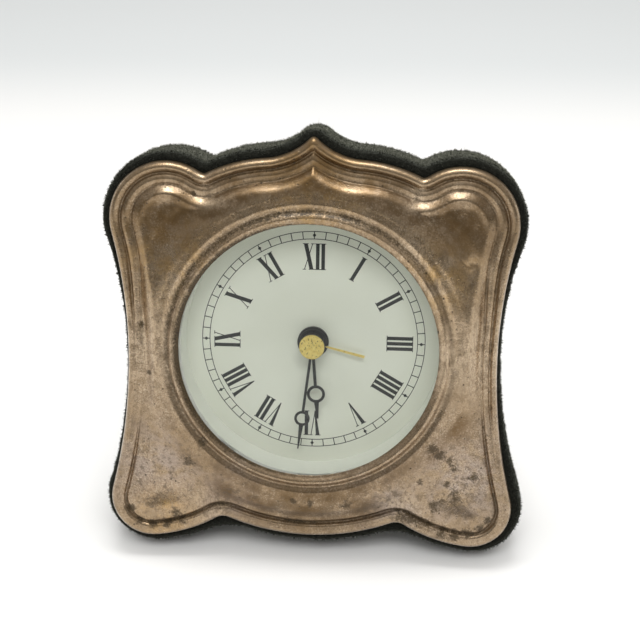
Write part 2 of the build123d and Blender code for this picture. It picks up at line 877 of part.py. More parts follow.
coil_plane = Plane(
    origin=face.from_local_coords((stator_middle - coil_half, core_level, core_front - core_thickness / 2)),
    x_dir=face.y_dir,
    z_dir=(1, 0, 0),
)
with BuildPart() as coil_winding:
    with BuildSketch(coil_plane):
        Circle(coil_radius)
        Rectangle(core_width, core_thickness, mode=Mode.SUBTRACT)
    extrude(amount=2 * coil_half)
finish(coil_winding, "coil_winding")

# Circuit and sounder
with BuildPart() as circuit_board:
    with BuildSketch(behind_plate(board_depth)):
        with Locations(board_at):
            Rectangle(board_width, board_height)
    extrude(amount=-board_thickness)
finish(circuit_board, "circuit_board")

with BuildPart() as controller_chip:
    chip_spot = (board_at[0] + board_width / 4, board_at[1])
    add_rod(chip_spot, plate_back - board_depth, plate_back - board_depth + chip_height, chip_radius)
finish(controller_chip, "controller_chip")

crystal_level = plate_back - board_depth + crystal_radius
crystal_start = (board_at[0] - board_width / 2, board_at[1] + board_height / 4, crystal_level)
crystal_plane = Plane(
    origin=face.from_local_coords(crystal_start),
    x_dir=face.y_dir,
    z_dir=(1, 0, 0),
)
with BuildPart() as quartz_crystal:
    with BuildSketch(crystal_plane):
        Circle(crystal_radius)
    extrude(amount=crystal_length)
finish(quartz_crystal, "quartz_crystal")

with BuildPart() as buzzer:
    add_rod(buzzer_at, plate_back - buzzer_height, plate_back, buzzer_radius)
finish(buzzer, "buzzer")

# Battery across the bay, with its contacts at the ends
battery_level = case_back + battery_radius + tube_fit


def end_plane(across):
    # plane square to u, at a place along the battery
    return Plane(
        origin=face.from_local_coords((across, bay_middle, battery_level)),
        x_dir=face.y_dir,
        z_dir=(1, 0, 0),
    )


with BuildPart() as battery:
    with BuildSketch(end_plane(-battery_half)):
        Circle(battery_radius)
    extrude(amount=battery_length)
    with BuildSketch(end_plane(battery_half - nub_length)):
        Circle(nub_radius)
    extrude(amount=nub_length)
finish(battery, "battery")

with BuildPart() as positive_contact:
    with BuildSketch(end_plane(inner_half)):
        Rectangle(contact_width, contact_width)
    extrude(amount=-contact_thickness)
    with BuildSketch(end_plane(battery_half)):
        Circle(contact_button)
    extrude(amount=inner_half - battery_half)
finish(positive_contact, "positive_contact")

with BuildPart() as negative_contact:
    with BuildSketch(end_plane(-inner_half)):
        Rectangle(contact_width, contact_width)
    extrude(amount=contact_thickness)
    with BuildSketch(end_plane(-battery_half)):
        Circle(contact_button)
    extrude(amount=battery_half - inner_half)
finish(negative_contact, "negative_contact")

# Setting knobs, alarm switch and movement clips on the back
knob_front = case_back - knob_gap
knob_back = knob_front - knob_height

with BuildPart() as time_set_arbor:
    add_wheel(time_set_spot, minute_wheel_depth, time_set_teeth, motion_module, time_set_phase)
    add_rod(time_set_spot, knob_front - knob_height / 2, shaft_front, set_shaft_radius)
finish(time_set_arbor, "time_set_arbor")

with BuildPart() as alarm_set_arbor:
    add_wheel(alarm_set_spot, alarm_wheel_depth, alarm_set_teeth, motion_module, alarm_set_phase)
    add_rod(alarm_set_spot, knob_front - knob_height / 2, shaft_front, set_shaft_radius)
finish(alarm_set_arbor, "alarm_set_arbor")


def add_knob(spot):
    add_rod(spot, knob_back, knob_front, knob_radius)
    for groove in range(knob_grooves):
        rim = polar(knob_radius, 360 * groove / knob_grooves, spot)
        add_rod(rim, knob_back, knob_front, knob_groove_radius, Mode.SUBTRACT)
    add_rod(spot, knob_front - knob_height / 2, knob_front, set_shaft_radius, Mode.SUBTRACT)


with BuildPart() as time_set_knob:
    add_knob(time_set_spot)
finish(time_set_knob, "time_set_knob")

with BuildPart() as alarm_set_knob:
    add_knob(alarm_set_spot)
finish(alarm_set_knob, "alarm_set_knob")

with BuildPart() as alarm_switch:
    with BuildSketch(face.offset(case_back - switch_lift)):
        with Locations(switch_at):
            Rectangle(switch_width, switch_height)
    extrude(amount=switch_lift + case_wall + switch_gap)
    with BuildSketch(face.offset(case_back - switch_lift)):
        with Locations(switch_at):
            Rectangle(switch_width, switch_height + 2 * switch_lip)
    extrude(amount=switch_lift - switch_gap)
    with BuildSketch(face.offset(case_back + case_wall + switch_gap)):
        with Locations(switch_at):
            Rectangle(switch_width, switch_height + 2 * switch_lip)
    extrude(amount=switch_plate)
finish(alarm_switch, "alarm_switch")

with BuildPart() as movement_clips:
    for side in (-1, 1):
        with BuildSketch(face.offset(-block_depth)) as strip:
            inner = case_side / 2 - clip_grip
            outer = case_side / 2 + case_clearance + clip_reach
            with Locations((side * (inner + outer) / 2, clip_height)):
                RectangleRounded(outer - inner, clip_width, clip_round)
        extrude(strip.sketch, amount=-clip_thickness)
    for spot in clip_screw_spots:
        add_rod(spot, -block_depth - clip_thickness, -block_depth, clip_screw_radius + fit, Mode.SUBTRACT)
finish(movement_clips, "movement_clips")

with BuildPart() as clip_screws:
    for spot in clip_screw_spots:
        under_head = -block_depth - clip_thickness
        add_rod(spot, under_head, -block_depth + clip_screw_length, clip_screw_radius)
        add_rod(spot, under_head - screw_head_height, under_head, clip_screw_head)
finish(clip_screws, "clip_screws")


# Easel strut and its hinge
def add_knuckle(start, end, mode=Mode.ADD, radius=barrel_radius):
    # round length of the hinge barrel along u
    plane = Plane(origin=strut_plane.from_local_coords((start, 0, 0)), x_dir=(0, 1, 0), z_dir=(1, 0, 0))
    with BuildSketch(plane) as knuckle:
        Circle(radius)
    extrude(knuckle.sketch, amount=end - start, mode=mode)


leaf_start = barrel_radius + leaf_gap
outer_knuckle = knuckle_half + knuckle_gap

with BuildPart() as frame_leaf:
    with BuildSketch(face.offset(-block_depth)):
        with Locations((0, hinge_height + (leaf_start + leaf_length) / 2)):
            Rectangle(2 * leaf_half_width, leaf_length - leaf_start)
        for side in (-1, 1):
            with Locations((side * (leaf_half_width + outer_knuckle) / 2, hinge_height + leaf_start / 2)):
                Rectangle(leaf_half_width - outer_knuckle, leaf_start)
    extrude(amount=-leaf_thickness)
    add_knuckle(-leaf_half_width, -outer_knuckle)
    add_knuckle(outer_knuckle, leaf_half_width)
    add_knuckle(-leaf_half_width, leaf_half_width, Mode.SUBTRACT, pin_radius)
    for spot in leaf_screw_spots:
        leaf_back = -block_depth - leaf_thickness
        add_rod(spot, leaf_back, -block_depth, leaf_screw_radius + fit, Mode.SUBTRACT)
finish(frame_leaf, "frame_leaf")

with BuildPart() as leaf_screws:
    for spot in leaf_screw_spots:
        add_rod(spot, leaf_back, -block_depth + leaf_screw_length, leaf_screw_radius)
        add_rod(spot, leaf_back - screw_head_height, leaf_back, leaf_screw_head)
finish(leaf_screws, "leaf_screws")

with BuildPart() as hinge_pin:
    add_knuckle(-leaf_half_width, leaf_half_width, radius=pin_radius)
finish(hinge_pin, "hinge_pin")

rivet_spots = [(-leaf_screw_across, -leaf_screw_along), (leaf_screw_across, -leaf_screw_along)]
board_back = strut_front - strut_board_thickness
velvet_back = board_back - strut_velvet_thickness
board_top = barrel_radius + strut_top_gap
board_length = hinge_rise / math.cos(strut_angle) + strut_board_thickness


def strut_outline(grow):
    with BuildSketch() as outline:
        top = strut_top_width / 2 + grow
        bottom = strut_bottom_width / 2 + grow
        with BuildLine():
            Polyline(
                (-top, -board_top),
                (top, -board_top),
                (bottom, -board_length),
                (-bottom, -board_length),
                close=True,
            )
        make_face()
    return outline.sketch


def strut_rod(spot, start, end, radius, mode=Mode.ADD):
    with BuildSketch(strut_plane.offset(start)) as round_end:
        with Locations(spot):
            Circle(radius)
    extrude(round_end.sketch, amount=end - start, mode=mode)


with BuildPart() as strut_leaf:
    with BuildSketch(strut_plane.offset(strut_front - leaf_thickness)):
        with Locations((0, -(leaf_start + leaf_length) / 2)):
            Rectangle(2 * leaf_half_width, leaf_length - leaf_start)
        with Locations((0, -leaf_start / 2)):
            Rectangle(2 * knuckle_half, leaf_start)
    extrude(amount=leaf_thickness)
    add_knuckle(-knuckle_half, knuckle_half)
    add_knuckle(-knuckle_half, knuckle_half, Mode.SUBTRACT, pin_radius + fit)
    for spot in rivet_spots:
        strut_rod(spot, strut_front - leaf_thickness, strut_front, leaf_screw_radius, Mode.SUBTRACT)
finish(strut_leaf, "strut_leaf")

with BuildPart() as strut_board:
    with BuildSketch(strut_plane.offset(board_back)):
        add(strut_outline(0))
    extrude(amount=strut_board_thickness)
    with BuildSketch(strut_plane.offset(strut_front - leaf_thickness)):
        with Locations((0, -leaf_length / 2)):
            Rectangle(2 * leaf_half_width, leaf_length)
    extrude(amount=leaf_thickness, mode=Mode.SUBTRACT)
    for spot in rivet_spots:
        strut_rod(spot, board_back, strut_front, leaf_screw_radius, Mode.SUBTRACT)
    split(bisect_by=Plane.XY, keep=Keep.TOP)
finish(strut_board, "strut_board")

with BuildPart() as strut_velvet:
    with BuildSketch(strut_plane.offset(velvet_back)):
        add(strut_outline(strut_velvet_thickness))
    extrude(amount=strut_velvet_thickness + strut_board_thickness)
    with BuildSketch(strut_plane.offset(board_back)):
        add(strut_outline(0))
    extrude(amount=strut_board_thickness, mode=Mode.SUBTRACT)
    for spot in rivet_spots:
        strut_rod(spot, velvet_back, board_back, leaf_screw_radius, Mode.SUBTRACT)
    split(bisect_by=Plane.XY, keep=Keep.TOP)
finish(strut_velvet, "strut_velvet")

with BuildPart() as strut_rivets:
    for spot in rivet_spots:
        strut_rod(spot, velvet_back, strut_front, leaf_screw_radius)
        strut_rod(spot, velvet_back - screw_head_height, velvet_back, leaf_screw_head)
finish(strut_rivets, "strut_rivets")
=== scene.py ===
import json
import math
import bpy
import bmesh
import numpy as np
from mathutils import Matrix, Vector


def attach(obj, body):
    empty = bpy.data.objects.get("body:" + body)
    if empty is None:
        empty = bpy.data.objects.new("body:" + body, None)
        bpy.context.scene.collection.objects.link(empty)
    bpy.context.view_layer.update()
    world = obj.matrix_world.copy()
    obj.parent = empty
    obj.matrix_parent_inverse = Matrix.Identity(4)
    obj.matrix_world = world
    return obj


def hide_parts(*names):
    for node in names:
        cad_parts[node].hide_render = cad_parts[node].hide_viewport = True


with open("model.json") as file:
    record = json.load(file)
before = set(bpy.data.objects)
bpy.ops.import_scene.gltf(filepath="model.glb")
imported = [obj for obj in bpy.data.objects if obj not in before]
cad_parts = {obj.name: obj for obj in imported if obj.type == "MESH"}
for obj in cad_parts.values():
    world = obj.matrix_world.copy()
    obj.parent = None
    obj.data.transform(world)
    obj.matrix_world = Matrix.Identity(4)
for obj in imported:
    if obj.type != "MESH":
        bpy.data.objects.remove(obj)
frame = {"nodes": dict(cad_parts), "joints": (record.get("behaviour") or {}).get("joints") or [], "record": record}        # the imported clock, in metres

for leftover in ("Cube", "Light", "Camera"):      # Blender's own start-up objects
    if leftover in bpy.data.objects:
        bpy.data.objects.remove(bpy.data.objects[leftover])
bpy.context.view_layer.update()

mm = 0.001
turning = {joint["name"]: joint for joint in frame["joints"]}
dialCentre = np.array(turning["minute_turn"]["pos_m"])
faceOut = -np.array(turning["minute_turn"]["axis"])
faceRight = np.array((1.0, 0.0, 0.0))
faceUp = np.cross(faceOut, faceRight)
faceAxes = np.array((faceRight, faceUp, faceOut))
hingeCentre = np.array(turning["strut_fold"]["pos_m"])
foldTurn = Matrix.Rotation(-math.radians(turning["strut_fold"]["range_deg"][0]), 3, "X")
strutAxes = faceAxes @ np.array(foldTurn).T


def spotsOn(centre, axes, spots):
    return centre + mm * np.stack(np.broadcast_arrays(*spots), axis=-1).astype(float) @ axes


def onFace(*spots):
    # millimetres right, up and out of the face, measured from the dial's axis
    return spotsOn(dialCentre, faceAxes, spots)


def onStrut(*spots):
    # the same for the strut, measured from its hinge
    return spotsOn(hingeCentre, strutAxes, spots)


def matrixOf(centre, axes):
    return Matrix.Translation(centre.tolist()) @ Matrix((mm * axes.T).tolist()).to_4x4()


faceMatrix = matrixOf(dialCentre, faceAxes)
print("frame ready:", len(frame["nodes"]), "nodes")


# Shader and geometry trees

class Wire:
    # one socket of a node tree, with the sums and products of Math nodes
    def __init__(self, tree, socket=None):
        self.tree = tree
        self.socket = socket

    def add(self, kind, settings=None, sockets=None, out=0):
        node = self.tree.nodes.new(kind)
        for key, value in (settings or {}).items():
            setattr(node, key, value)
        for key, value in (sockets or {}).items():
            if isinstance(value, Wire):
                self.tree.links.new(value.socket, node.inputs[key])
            else:
                node.inputs[key].default_value = value
        return Wire(self.tree, node.outputs[out]) if out is not None else None

    def sum(self, operation, first, second):
        return self.add("ShaderNodeMath", {"operation": operation}, {0: first, 1: second})

    def __add__(self, other):
        return self.sum("ADD", self, other)

    __radd__ = __add__

    def __sub__(self, other):
        return self.sum("SUBTRACT", self, other)

    def __rsub__(self, other):
        return self.sum("SUBTRACT", other, self)

    def __mul__(self, other):
        return self.sum("MULTIPLY", self, other)

    __rmul__ = __mul__

    def between(self, low, high):
        # 0 below low, 1 above high, eased in the middle
        settings = {"interpolation_type": "SMOOTHSTEP"}
        return self.add("ShaderNodeMapRange", settings, {0: self, 1: low, 2: high, 3: 0.0, 4: 1.0})

    def noise(self, place, scale, detail=3.0, rough=0.55, out=0):
        sockets = {"Vector": place, "Scale": scale, "Detail": detail, "Roughness": rough}
        return self.add("ShaderNodeTexNoise", {}, sockets, out)

    def mix(self, share, first, second):
        return self.add("ShaderNodeMix", {"data_type": "RGBA"}, {0: share, 6: first, 7: second}, 2)

    def layers(self, base, rows):
        # rows of a share and the colour that it lays over what is below
        blend = colour(*base)
        for share, tone in rows:
            blend = self.mix(share, blend, colour(*tone))
        return blend

    def drawn(self, place, scale, rotation=(0.0, 0.0, 0.0)):
        return self.add("ShaderNodeMapping", {}, {"Vector": place, "Scale": scale, "Rotation": rotation})

    def axis(self, vector, index):
        return self.add("ShaderNodeSeparateXYZ", {}, {0: vector}, index)

    def attribute(self, name):
        return self.add("ShaderNodeAttribute", {"attribute_name": name}, {}, 2)

    def bump(self, height, depth, strength=1.0):
        return self.add("ShaderNodeBump", {}, {"Height": height, "Distance": depth, "Strength": strength})


def startFinish(name):
    material = bpy.data.materials.new(name)
    material.use_nodes = True
    material.node_tree.nodes.clear()
    wire = Wire(material.node_tree)
    return material, wire, wire.add("ShaderNodeTexCoord", out="Object")


def closeFinish(wire, sockets):
    shader = wire.add("ShaderNodeBsdfPrincipled", {}, sockets)
    wire.add("ShaderNodeOutputMaterial", {}, {"Surface": shader}, None)


def colour(red, green, blue):
    return (red, green, blue, 1.0)


def silverFinish():
    material, wire, place = startFinish("tarnishedSilver")
    kinds = ("grimeAndShade", "stain", "plum", "gold", "patinaAndShade", "smudgeAndShade", "polishAndHighlight")
    grimeAndShade, stain, plum, gold, patinaAndShade, smudgeAndShade, polishAndHighlight = (wire.attribute(kind) for kind in kinds)
    patches = wire.noise(place, 70.0, 3.0)
    clouds = wire.noise(place, 190.0, 5.0, 0.62)
    blotch = wire.noise(place, 330.0, 4.0, 0.6)
    mottle = wire.noise(place, 700.0, 6.0, 0.68)
    specks = wire.noise(place, 2300.0, 3.0, 0.6)
    grit = wire.noise(place, 4200.0, 2.0, 0.6)
    streaks = wire.noise(wire.drawn(place, (1.0, 1.0, 0.07)), 1900.0, 3.0)
    # patina and smudges; both also carry painted shade in the trough under the upper ridge, and a band under
    # the ring that is darker towards the bottom
    brownAndShade = patinaAndShade * (0.35 + 0.65 * clouds.between(0.3, 0.62))
    soiledAndShaded = smudgeAndShade * (0.5 * clouds + 0.5 * mottle).between(0.38, 0.62)
    worn = 0.35 + 0.65 * patches.between(0.4, 0.6)
    bright = (1.0 - specks).between(0.52, 0.68) * (1.0 - 0.8 * brownAndShade) * worn
    warm = wire.layers((0.320, 0.226, 0.132), [
        (patches.between(0.35, 0.65), (0.385, 0.282, 0.178)),
        # painted highlight, partly real wear: the polish spots lighten the ridges near the notches, the
        # waist and the side of the ring
        (polishAndHighlight * 0.75, (0.62, 0.482, 0.332)),
        (blotch.between(0.49, 0.62) * 0.5, (0.22, 0.150, 0.080)),
        (plum * clouds.between(0.34, 0.62) * 0.75, (0.385, 0.320, 0.285)),
        (gold * clouds.between(0.35, 0.65) * 0.85, (0.50, 0.31, 0.11)),
        (brownAndShade * 0.92, (0.142, 0.081, 0.029)),
        (soiledAndShaded * 0.72, (0.085, 0.056, 0.028)),
        (mottle.between(0.48, 0.70) * 0.55, (0.20, 0.135, 0.072)),
        (specks.between(0.50, 0.68) * 0.5 * worn, (0.15, 0.100, 0.055)),
        (bright * 0.45, (0.70, 0.585, 0.450)),
        (grit.between(0.52, 0.66) * 0.4 * worn, (0.13, 0.090, 0.055)),
        (plum * mottle.between(0.50, 0.62) * 0.5, (0.10, 0.078, 0.060)),
        (streaks.between(0.52, 0.64) * polishAndHighlight * 0.45, (0.13, 0.090, 0.052)),
    ])
    cells = wire.add("ShaderNodeTexVoronoi", {}, {"Vector": place, "Scale": 850.0})
    chosen = wire.axis(Wire(wire.tree, cells.socket.node.outputs["Color"]), 0)
    dots = chosen.between(0.80, 0.84) * (1.0 - cells.between(0.10, 0.32))
    ragged = 0.4 * stain + 0.55 * mottle + 0.35 * specks + 0.25 * clouds
    corroded = ragged.between(0.74, 0.98) * stain.between(0.02, 0.25)
    corroded = corroded * (0.45 + 0.55 * grit.between(0.38, 0.58))
    pits = corroded + dots * (0.35 + 0.5 * clouds.between(0.4, 0.65))
    # grime in the grooves, with a painted shadow along the left of the opening's lip
    dirtAndShade = grimeAndShade * (0.5 + 0.5 * (0.5 * mottle + 0.5 * specks).between(0.38, 0.58))
    dark = (dirtAndShade + pits).between(0.0, 1.0)
    crust = wire.layers((0.025, 0.016, 0.007), [(grit.between(0.40, 0.62), (0.100, 0.067, 0.030))])
    height = mottle * 0.7 + clouds * 1.2 + specks * 0.35 - pits * 1.5
    closeFinish(wire, {
        "Base Color": wire.mix(dark, warm, crust),
        "Metallic": 1.0 - 0.55 * dark,
        "Roughness": 0.13 + 0.14 * clouds + 0.14 * mottle + 0.10 * brownAndShade + 0.2 * dark,
        "Coat Weight": (0.5 - 0.3 * brownAndShade) * (1.0 - 0.8 * dark),
        "Coat Roughness": 0.18,
        "Normal": wire.bump(height, 0.00014, 0.5),
    })
    return material


def velvetFinish():
    material, wire, place = startFinish("greenBlackVelvet")
    fuzz = wire.noise(place, 1500.0, 3.0, 0.65)
    fleck = wire.noise(place, 1300.0, 2.0, 0.7)
    crush = wire.noise(place, 260.0, 4.0)
    tip = wire.attribute("tip").between(0.0, 0.7)
    # painted shade: the velvet nearest the face, its front roll, is painted near black, and the sides
    # further back keep a lighter tone
    fromDial = wire.add("ShaderNodeVectorMath", {"operation": "SUBTRACT"}, {0: place, 1: tuple(dialCentre)})
    out = wire.add("ShaderNodeVectorMath", {"operation": "DOT_PRODUCT"}, {0: fromDial, 1: tuple(faceOut)}, 1)
    # painted sheen and shade in the pile: fibre tips and crushed patches lighter, roots darker
    base = wire.layers((0.050, 0.051, 0.040), [
        (tip * fuzz.between(0.38, 0.62), (0.225, 0.229, 0.180)),
        ((0.3 + 0.7 * tip) * fleck.between(0.52, 0.66) * 0.7, (0.330, 0.335, 0.268)),
        ((1.0 - fleck).between(0.52, 0.64) * 0.65, (0.008, 0.008, 0.006)),
        (tip * crush.between(0.5, 0.72) * 0.4, (0.280, 0.285, 0.225)),
        (out.between(-0.0056, -0.0016) * 0.9, (0.004, 0.004, 0.003)),
    ])
    closeFinish(wire, {
        "Base Color": base,
        "Roughness": 0.95,
        "Specular IOR Level": 0.08,
        "Sheen Weight": 0.22,
        "Sheen Roughness": 0.4,
        "Sheen Tint": colour(0.62, 0.66, 0.54),
        "Normal": wire.bump(fuzz + 0.6 * crush, 0.0006, 0.9),
    })
    return material


def dialFinish():
    material, wire, place = startFinish("dialPaint")
    cloud = wire.noise(place, 45.0, 2.0)
    grain = wire.noise(place, 2600.0, 2.0)
    base = wire.layers((0.735, 0.730, 0.645), [
        (cloud.between(0.35, 0.65), (0.770, 0.765, 0.685)),
        (grain.between(0.62, 0.75) * 0.18, (0.70, 0.72, 0.66)),
    ])
    closeFinish(wire, {
        "Base Color": base,
        "Roughness": 0.42 + 0.1 * grain,
        "Normal": wire.bump(grain, 0.00002, 0.3),
    })
    return material


def plainFinish(name, light, dark, rough, metal=0.0, scale=900.0, bump=0.00003):
    # two tones, broken up by a fine and a broad noise
    material, wire, place = startFinish(name)
    fine = wire.noise(place, scale, 4.0)
    broad = wire.noise(place, scale / 9, 3.0)
    share = fine.between(0.3, 0.7) * 0.5 + broad.between(0.3, 0.7) * 0.5
    closeFinish(wire, {
        "Base Color": wire.layers(light, [(share, dark)]),
        "Metallic": metal,
        "Roughness": rough + 0.14 * (fine - 0.5) + 0.12 * (broad - 0.5),
        "Normal": wire.bump(fine, bump, 0.5),
    })
    return material


def giltFinish():
    material, wire, place = startFinish("scratchedGilt")
    patchy = wire.noise(place, 1100.0, 4.0)
    hairline = wire.noise(wire.drawn(place, (1.0, 0.16, 0.5), (0.3, 0.9, 0.5)), 2400.0, 3.0)
    crossing = wire.noise(wire.drawn(place, (0.4, 1.0, 0.14), (0.9, -0.6, 1.4)), 2200.0, 3.0)
    scratches = hairline.between(0.60, 0.66) * (1.0 - hairline.between(0.68, 0.74))
    scratches = scratches + crossing.between(0.66, 0.72)
    base = wire.layers((0.88, 0.70, 0.25), [
        (patchy.between(0.3, 0.7), (0.78, 0.58, 0.17)),
        (scratches.between(0.0, 1.0) * 0.85, (0.10, 0.06, 0.015)),
    ])
    closeFinish(wire, {
        "Base Color": base,
        "Metallic": 0.75,
        "Roughness": 0.42 + 0.15 * patchy,
        "Normal": wire.bump(patchy - scratches, 0.00005, 0.5),
    })
    return material


def woodFinish():
    material, wire, place = startFinish("bareSoftwood")
    rings = wire.noise(wire.drawn(place, (14.0, 260.0, 260.0)), 1.0, 3.0)
    closeFinish(wire, {
        "Base Color": wire.layers((0.42, 0.27, 0.14), [(rings.between(0.35, 0.65), (0.55, 0.39, 0.23))]),
        "Roughness": 0.7 + 0.1 * rings,
        "Normal": wire.bump(rings, 0.0001, 0.4),
    })
    return material


def glassFinish():
    material, wire, place = startFinish("flatGlass")
    smear = wire.noise(place, 90.0, 3.0)
    gloss = wire.add("ShaderNodeFresnel", {}, {"IOR": 1.28})
    clear = wire.add("ShaderNodeBsdfTransparent", {}, {"Color": colour(0.965, 0.98, 0.97)})
    shine = wire.add("ShaderNodeBsdfPrincipled", {}, {
        "Base Color": colour(1.0, 1.0, 1.0),
        "Metallic": 1.0,
        "Roughness": 0.02 + 0.05 * smear,
    })
    pane = wire.add("ShaderNodeMixShader", {}, {0: gloss, 1: clear, 2: shine})
    wire.add("ShaderNodeOutputMaterial", {}, {"Surface": pane}, None)
    return material


plainTones = {
    "white_plastic": ("whiteSpacer", (0.97, 0.965, 0.91), (0.95, 0.945, 0.89), 0.4),
    "black_metal": ("blackLacquer", (0.007, 0.007, 0.008), (0.014, 0.013, 0.012), 0.45),
    "black_plastic": ("blackMoulding", (0.018, 0.018, 0.019), (0.034, 0.034, 0.036), 0.5, 0.0, 2400.0),
    "gear_plastic": ("gearMoulding", (0.70, 0.68, 0.60), (0.62, 0.60, 0.52), 0.42),
    "steel": ("brightSteel", (0.56, 0.56, 0.55), (0.42, 0.42, 0.42), 0.28, 1.0, 1500.0),
    "copper": ("copperWire", (0.72, 0.30, 0.14), (0.56, 0.20, 0.08), 0.3, 1.0, 2200.0),
    "circuit": ("circuitBoard", (0.02, 0.14, 0.06), (0.03, 0.19, 0.08), 0.4),
    "crystal_can": ("crystalCan", (0.66, 0.66, 0.64), (0.52, 0.52, 0.50), 0.22, 1.0),
    "cell_jacket": ("cellJacket", (0.05, 0.09, 0.16), (0.07, 0.12, 0.20), 0.3, 0.3),
    "brass": ("wornBrass", (0.60, 0.42, 0.16), (0.42, 0.27, 0.09), 0.34, 1.0, 700.0, 0.00006),
    "card": ("greyCard", (0.30, 0.29, 0.26), (0.22, 0.21, 0.19), 0.85, 0.0, 500.0, 0.00012),
    "ink": ("dialInk", (0.012, 0.012, 0.013), (0.02, 0.02, 0.02), 0.55, 0.0, 3000.0, 0.00001),
}
finishes = {slot: plainFinish(*values) for slot, values in plainTones.items()}
finishes.update({
    "silver": silverFinish(), "velvet": velvetFinish(), "wood": woodFinish(),
    "glass": glassFinish(), "dial_paint": dialFinish(), "gilt": giltFinish(),
})
for part in frame["record"]["subparts"]:
    node = frame["nodes"][part["node"]]
    for index in range(len(node.material_slots)):
        node.material_slots[index].material = finishes[part["material_slot"]]
print("finishes:", len(finishes))


# Meshes

def meshFrom(name, points, faces, material, smooth=True):
    mesh = bpy.data.meshes.new(name)
    mesh.from_pydata([tuple(point) for point in points], [], faces)
    mesh.materials.append(material)
    mesh.polygons.foreach_set("use_smooth", [smooth] * len(mesh.polygons))
    mesh.update()
    return mesh


def addObject(name, data):
    obj = bpy.data.objects.new(name, data)
    bpy.context.collection.objects.link(obj)
    return obj


def bakedMesh(holder):
    # plain mesh of what an object's modifiers or curve make; the object itself goes
    mesh = bpy.data.meshes.new_from_object(holder.evaluated_get(bpy.context.evaluated_depsgraph_get()))
    bpy.data.objects.remove(holder)
    return mesh


def addSkin(cover, thickness):
    wall = cover.modifiers.new("skin", "SOLIDIFY")
    wall.thickness = thickness * mm
    wall.offset = -1.0


def piece(name, mesh, body, slot, *nodes):
    obj = addObject(name, mesh)
    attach(obj, body)
    if nodes:
        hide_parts(*nodes)
    return obj


def loopFaces(rows, columns, wrapRows=False):
    # quads of a grid whose columns close on themselves
    faces = []
    for row in range(rows if wrapRows else rows - 1):
        here = row * columns
        there = (row + 1) % rows * columns
        for column in range(columns):
            beside = (column + 1) % columns
            faces.append((here + column, here + beside, there + beside, there + column))
    return faces


def startTree(name, inputs):
    # geometry tree with a socket for each named size
    tree = bpy.data.node_groups.new(name, "GeometryNodeTree")
    tree.interface.new_socket("Geometry", in_out="INPUT", socket_type="NodeSocketGeometry")
    for label, kind in inputs.items():
        tree.interface.new_socket(label, in_out="INPUT", socket_type="NodeSocket" + kind)
    tree.interface.new_socket("Geometry", in_out="OUTPUT", socket_type="NodeSocketGeometry")
    wire = Wire(tree)
    entry = tree.nodes.new("NodeGroupInput")
    return tree, wire, {socket.name: Wire(tree, socket) for socket in entry.outputs if socket.name}


def closeTree(wire, instances, material):
    whole = wire.add("GeometryNodeRealizeInstances", {}, {"Geometry": instances})
    painted = wire.add("GeometryNodeSetMaterial", {}, {"Geometry": whole, "Material": material})
    wire.add("NodeGroupOutput", {}, {"Geometry": painted}, None)


def grown(name, tree, ground, values):
    # plain mesh of what the tree makes of a ground mesh
    holder = addObject(name, ground)
    modifier = holder.modifiers.new(name, "NODES")
    modifier.node_group = tree
    for item in tree.interface.items_tree:
        if item.in_out == "INPUT" and item.name in values:
            modifier[item.identifier] = values[item.name]
    mesh = bakedMesh(holder)
    mesh.name = name
    return mesh


# Outline of the silver, right half, in face millimetres

edge = {
    "tip": (0.0, 56.1), "tipRound": 1.3,
    "shoulder": (12.5, 49.85), "shoulderSlope": 4.0,
    "lobe": (37.8, 33.5), "lobeRadius": 15.2, "lobeNotch": 128.6, "notchRound": 1.0,
    "waist": (48.85, -0.5),
    "foot": (43.5, -43.9), "footRadius": 11.2, "heel": 263.0,
    "baseNotch": (24.0, -48.3), "baseRound": 3.0, "base": (0.0, -53.35),
    "columns": 800, "arcSteps": 60, "nearSpokes": 50, "halvings": 22,
}
columns = edge["columns"]
spokes = math.pi / 2 - np.arange(columns) * 2 * math.pi / columns      # clockwise from the tip
spokeAcross, spokeUp = np.cos(spokes), np.sin(spokes)


def polar(centre, radius, degrees):
    turn = np.radians(degrees)
    return np.array(centre) + radius * np.stack([np.cos(turn), np.sin(turn)], axis=-1)


def tangentArc(start, end, tangent):
    # arc from start to end that leaves start along the tangent
    start, end, tangent = (np.array(value, float) for value in (start, end, tangent))
    side = np.array((-tangent[1], tangent[0]))
    chord = end - start
    centre = start + side * (chord @ chord) / (2 * chord @ side)
    sweep = np.linspace(0, 2 * math.atan2(chord @ side, chord @ tangent), edge["arcSteps"])
    spoke = start - centre
    return centre + np.stack([
        spoke[0] * np.cos(sweep) - spoke[1] * np.sin(sweep),
        spoke[0] * np.sin(sweep) + spoke[1] * np.cos(sweep),
    ], axis=-1)


def joinOnCircle(centre, radius, waist):
    # where the waist's long arc runs into a corner circle
    gap = waist[0] - centre[0]
    rise = centre[1] - waist[1]
    reach = (gap**2 + rise**2 - radius**2) / (2 * (radius - gap))
    scale = radius / (reach + radius)
    return np.array((centre[0] + (reach + gap) * scale, centre[1] - rise * scale))


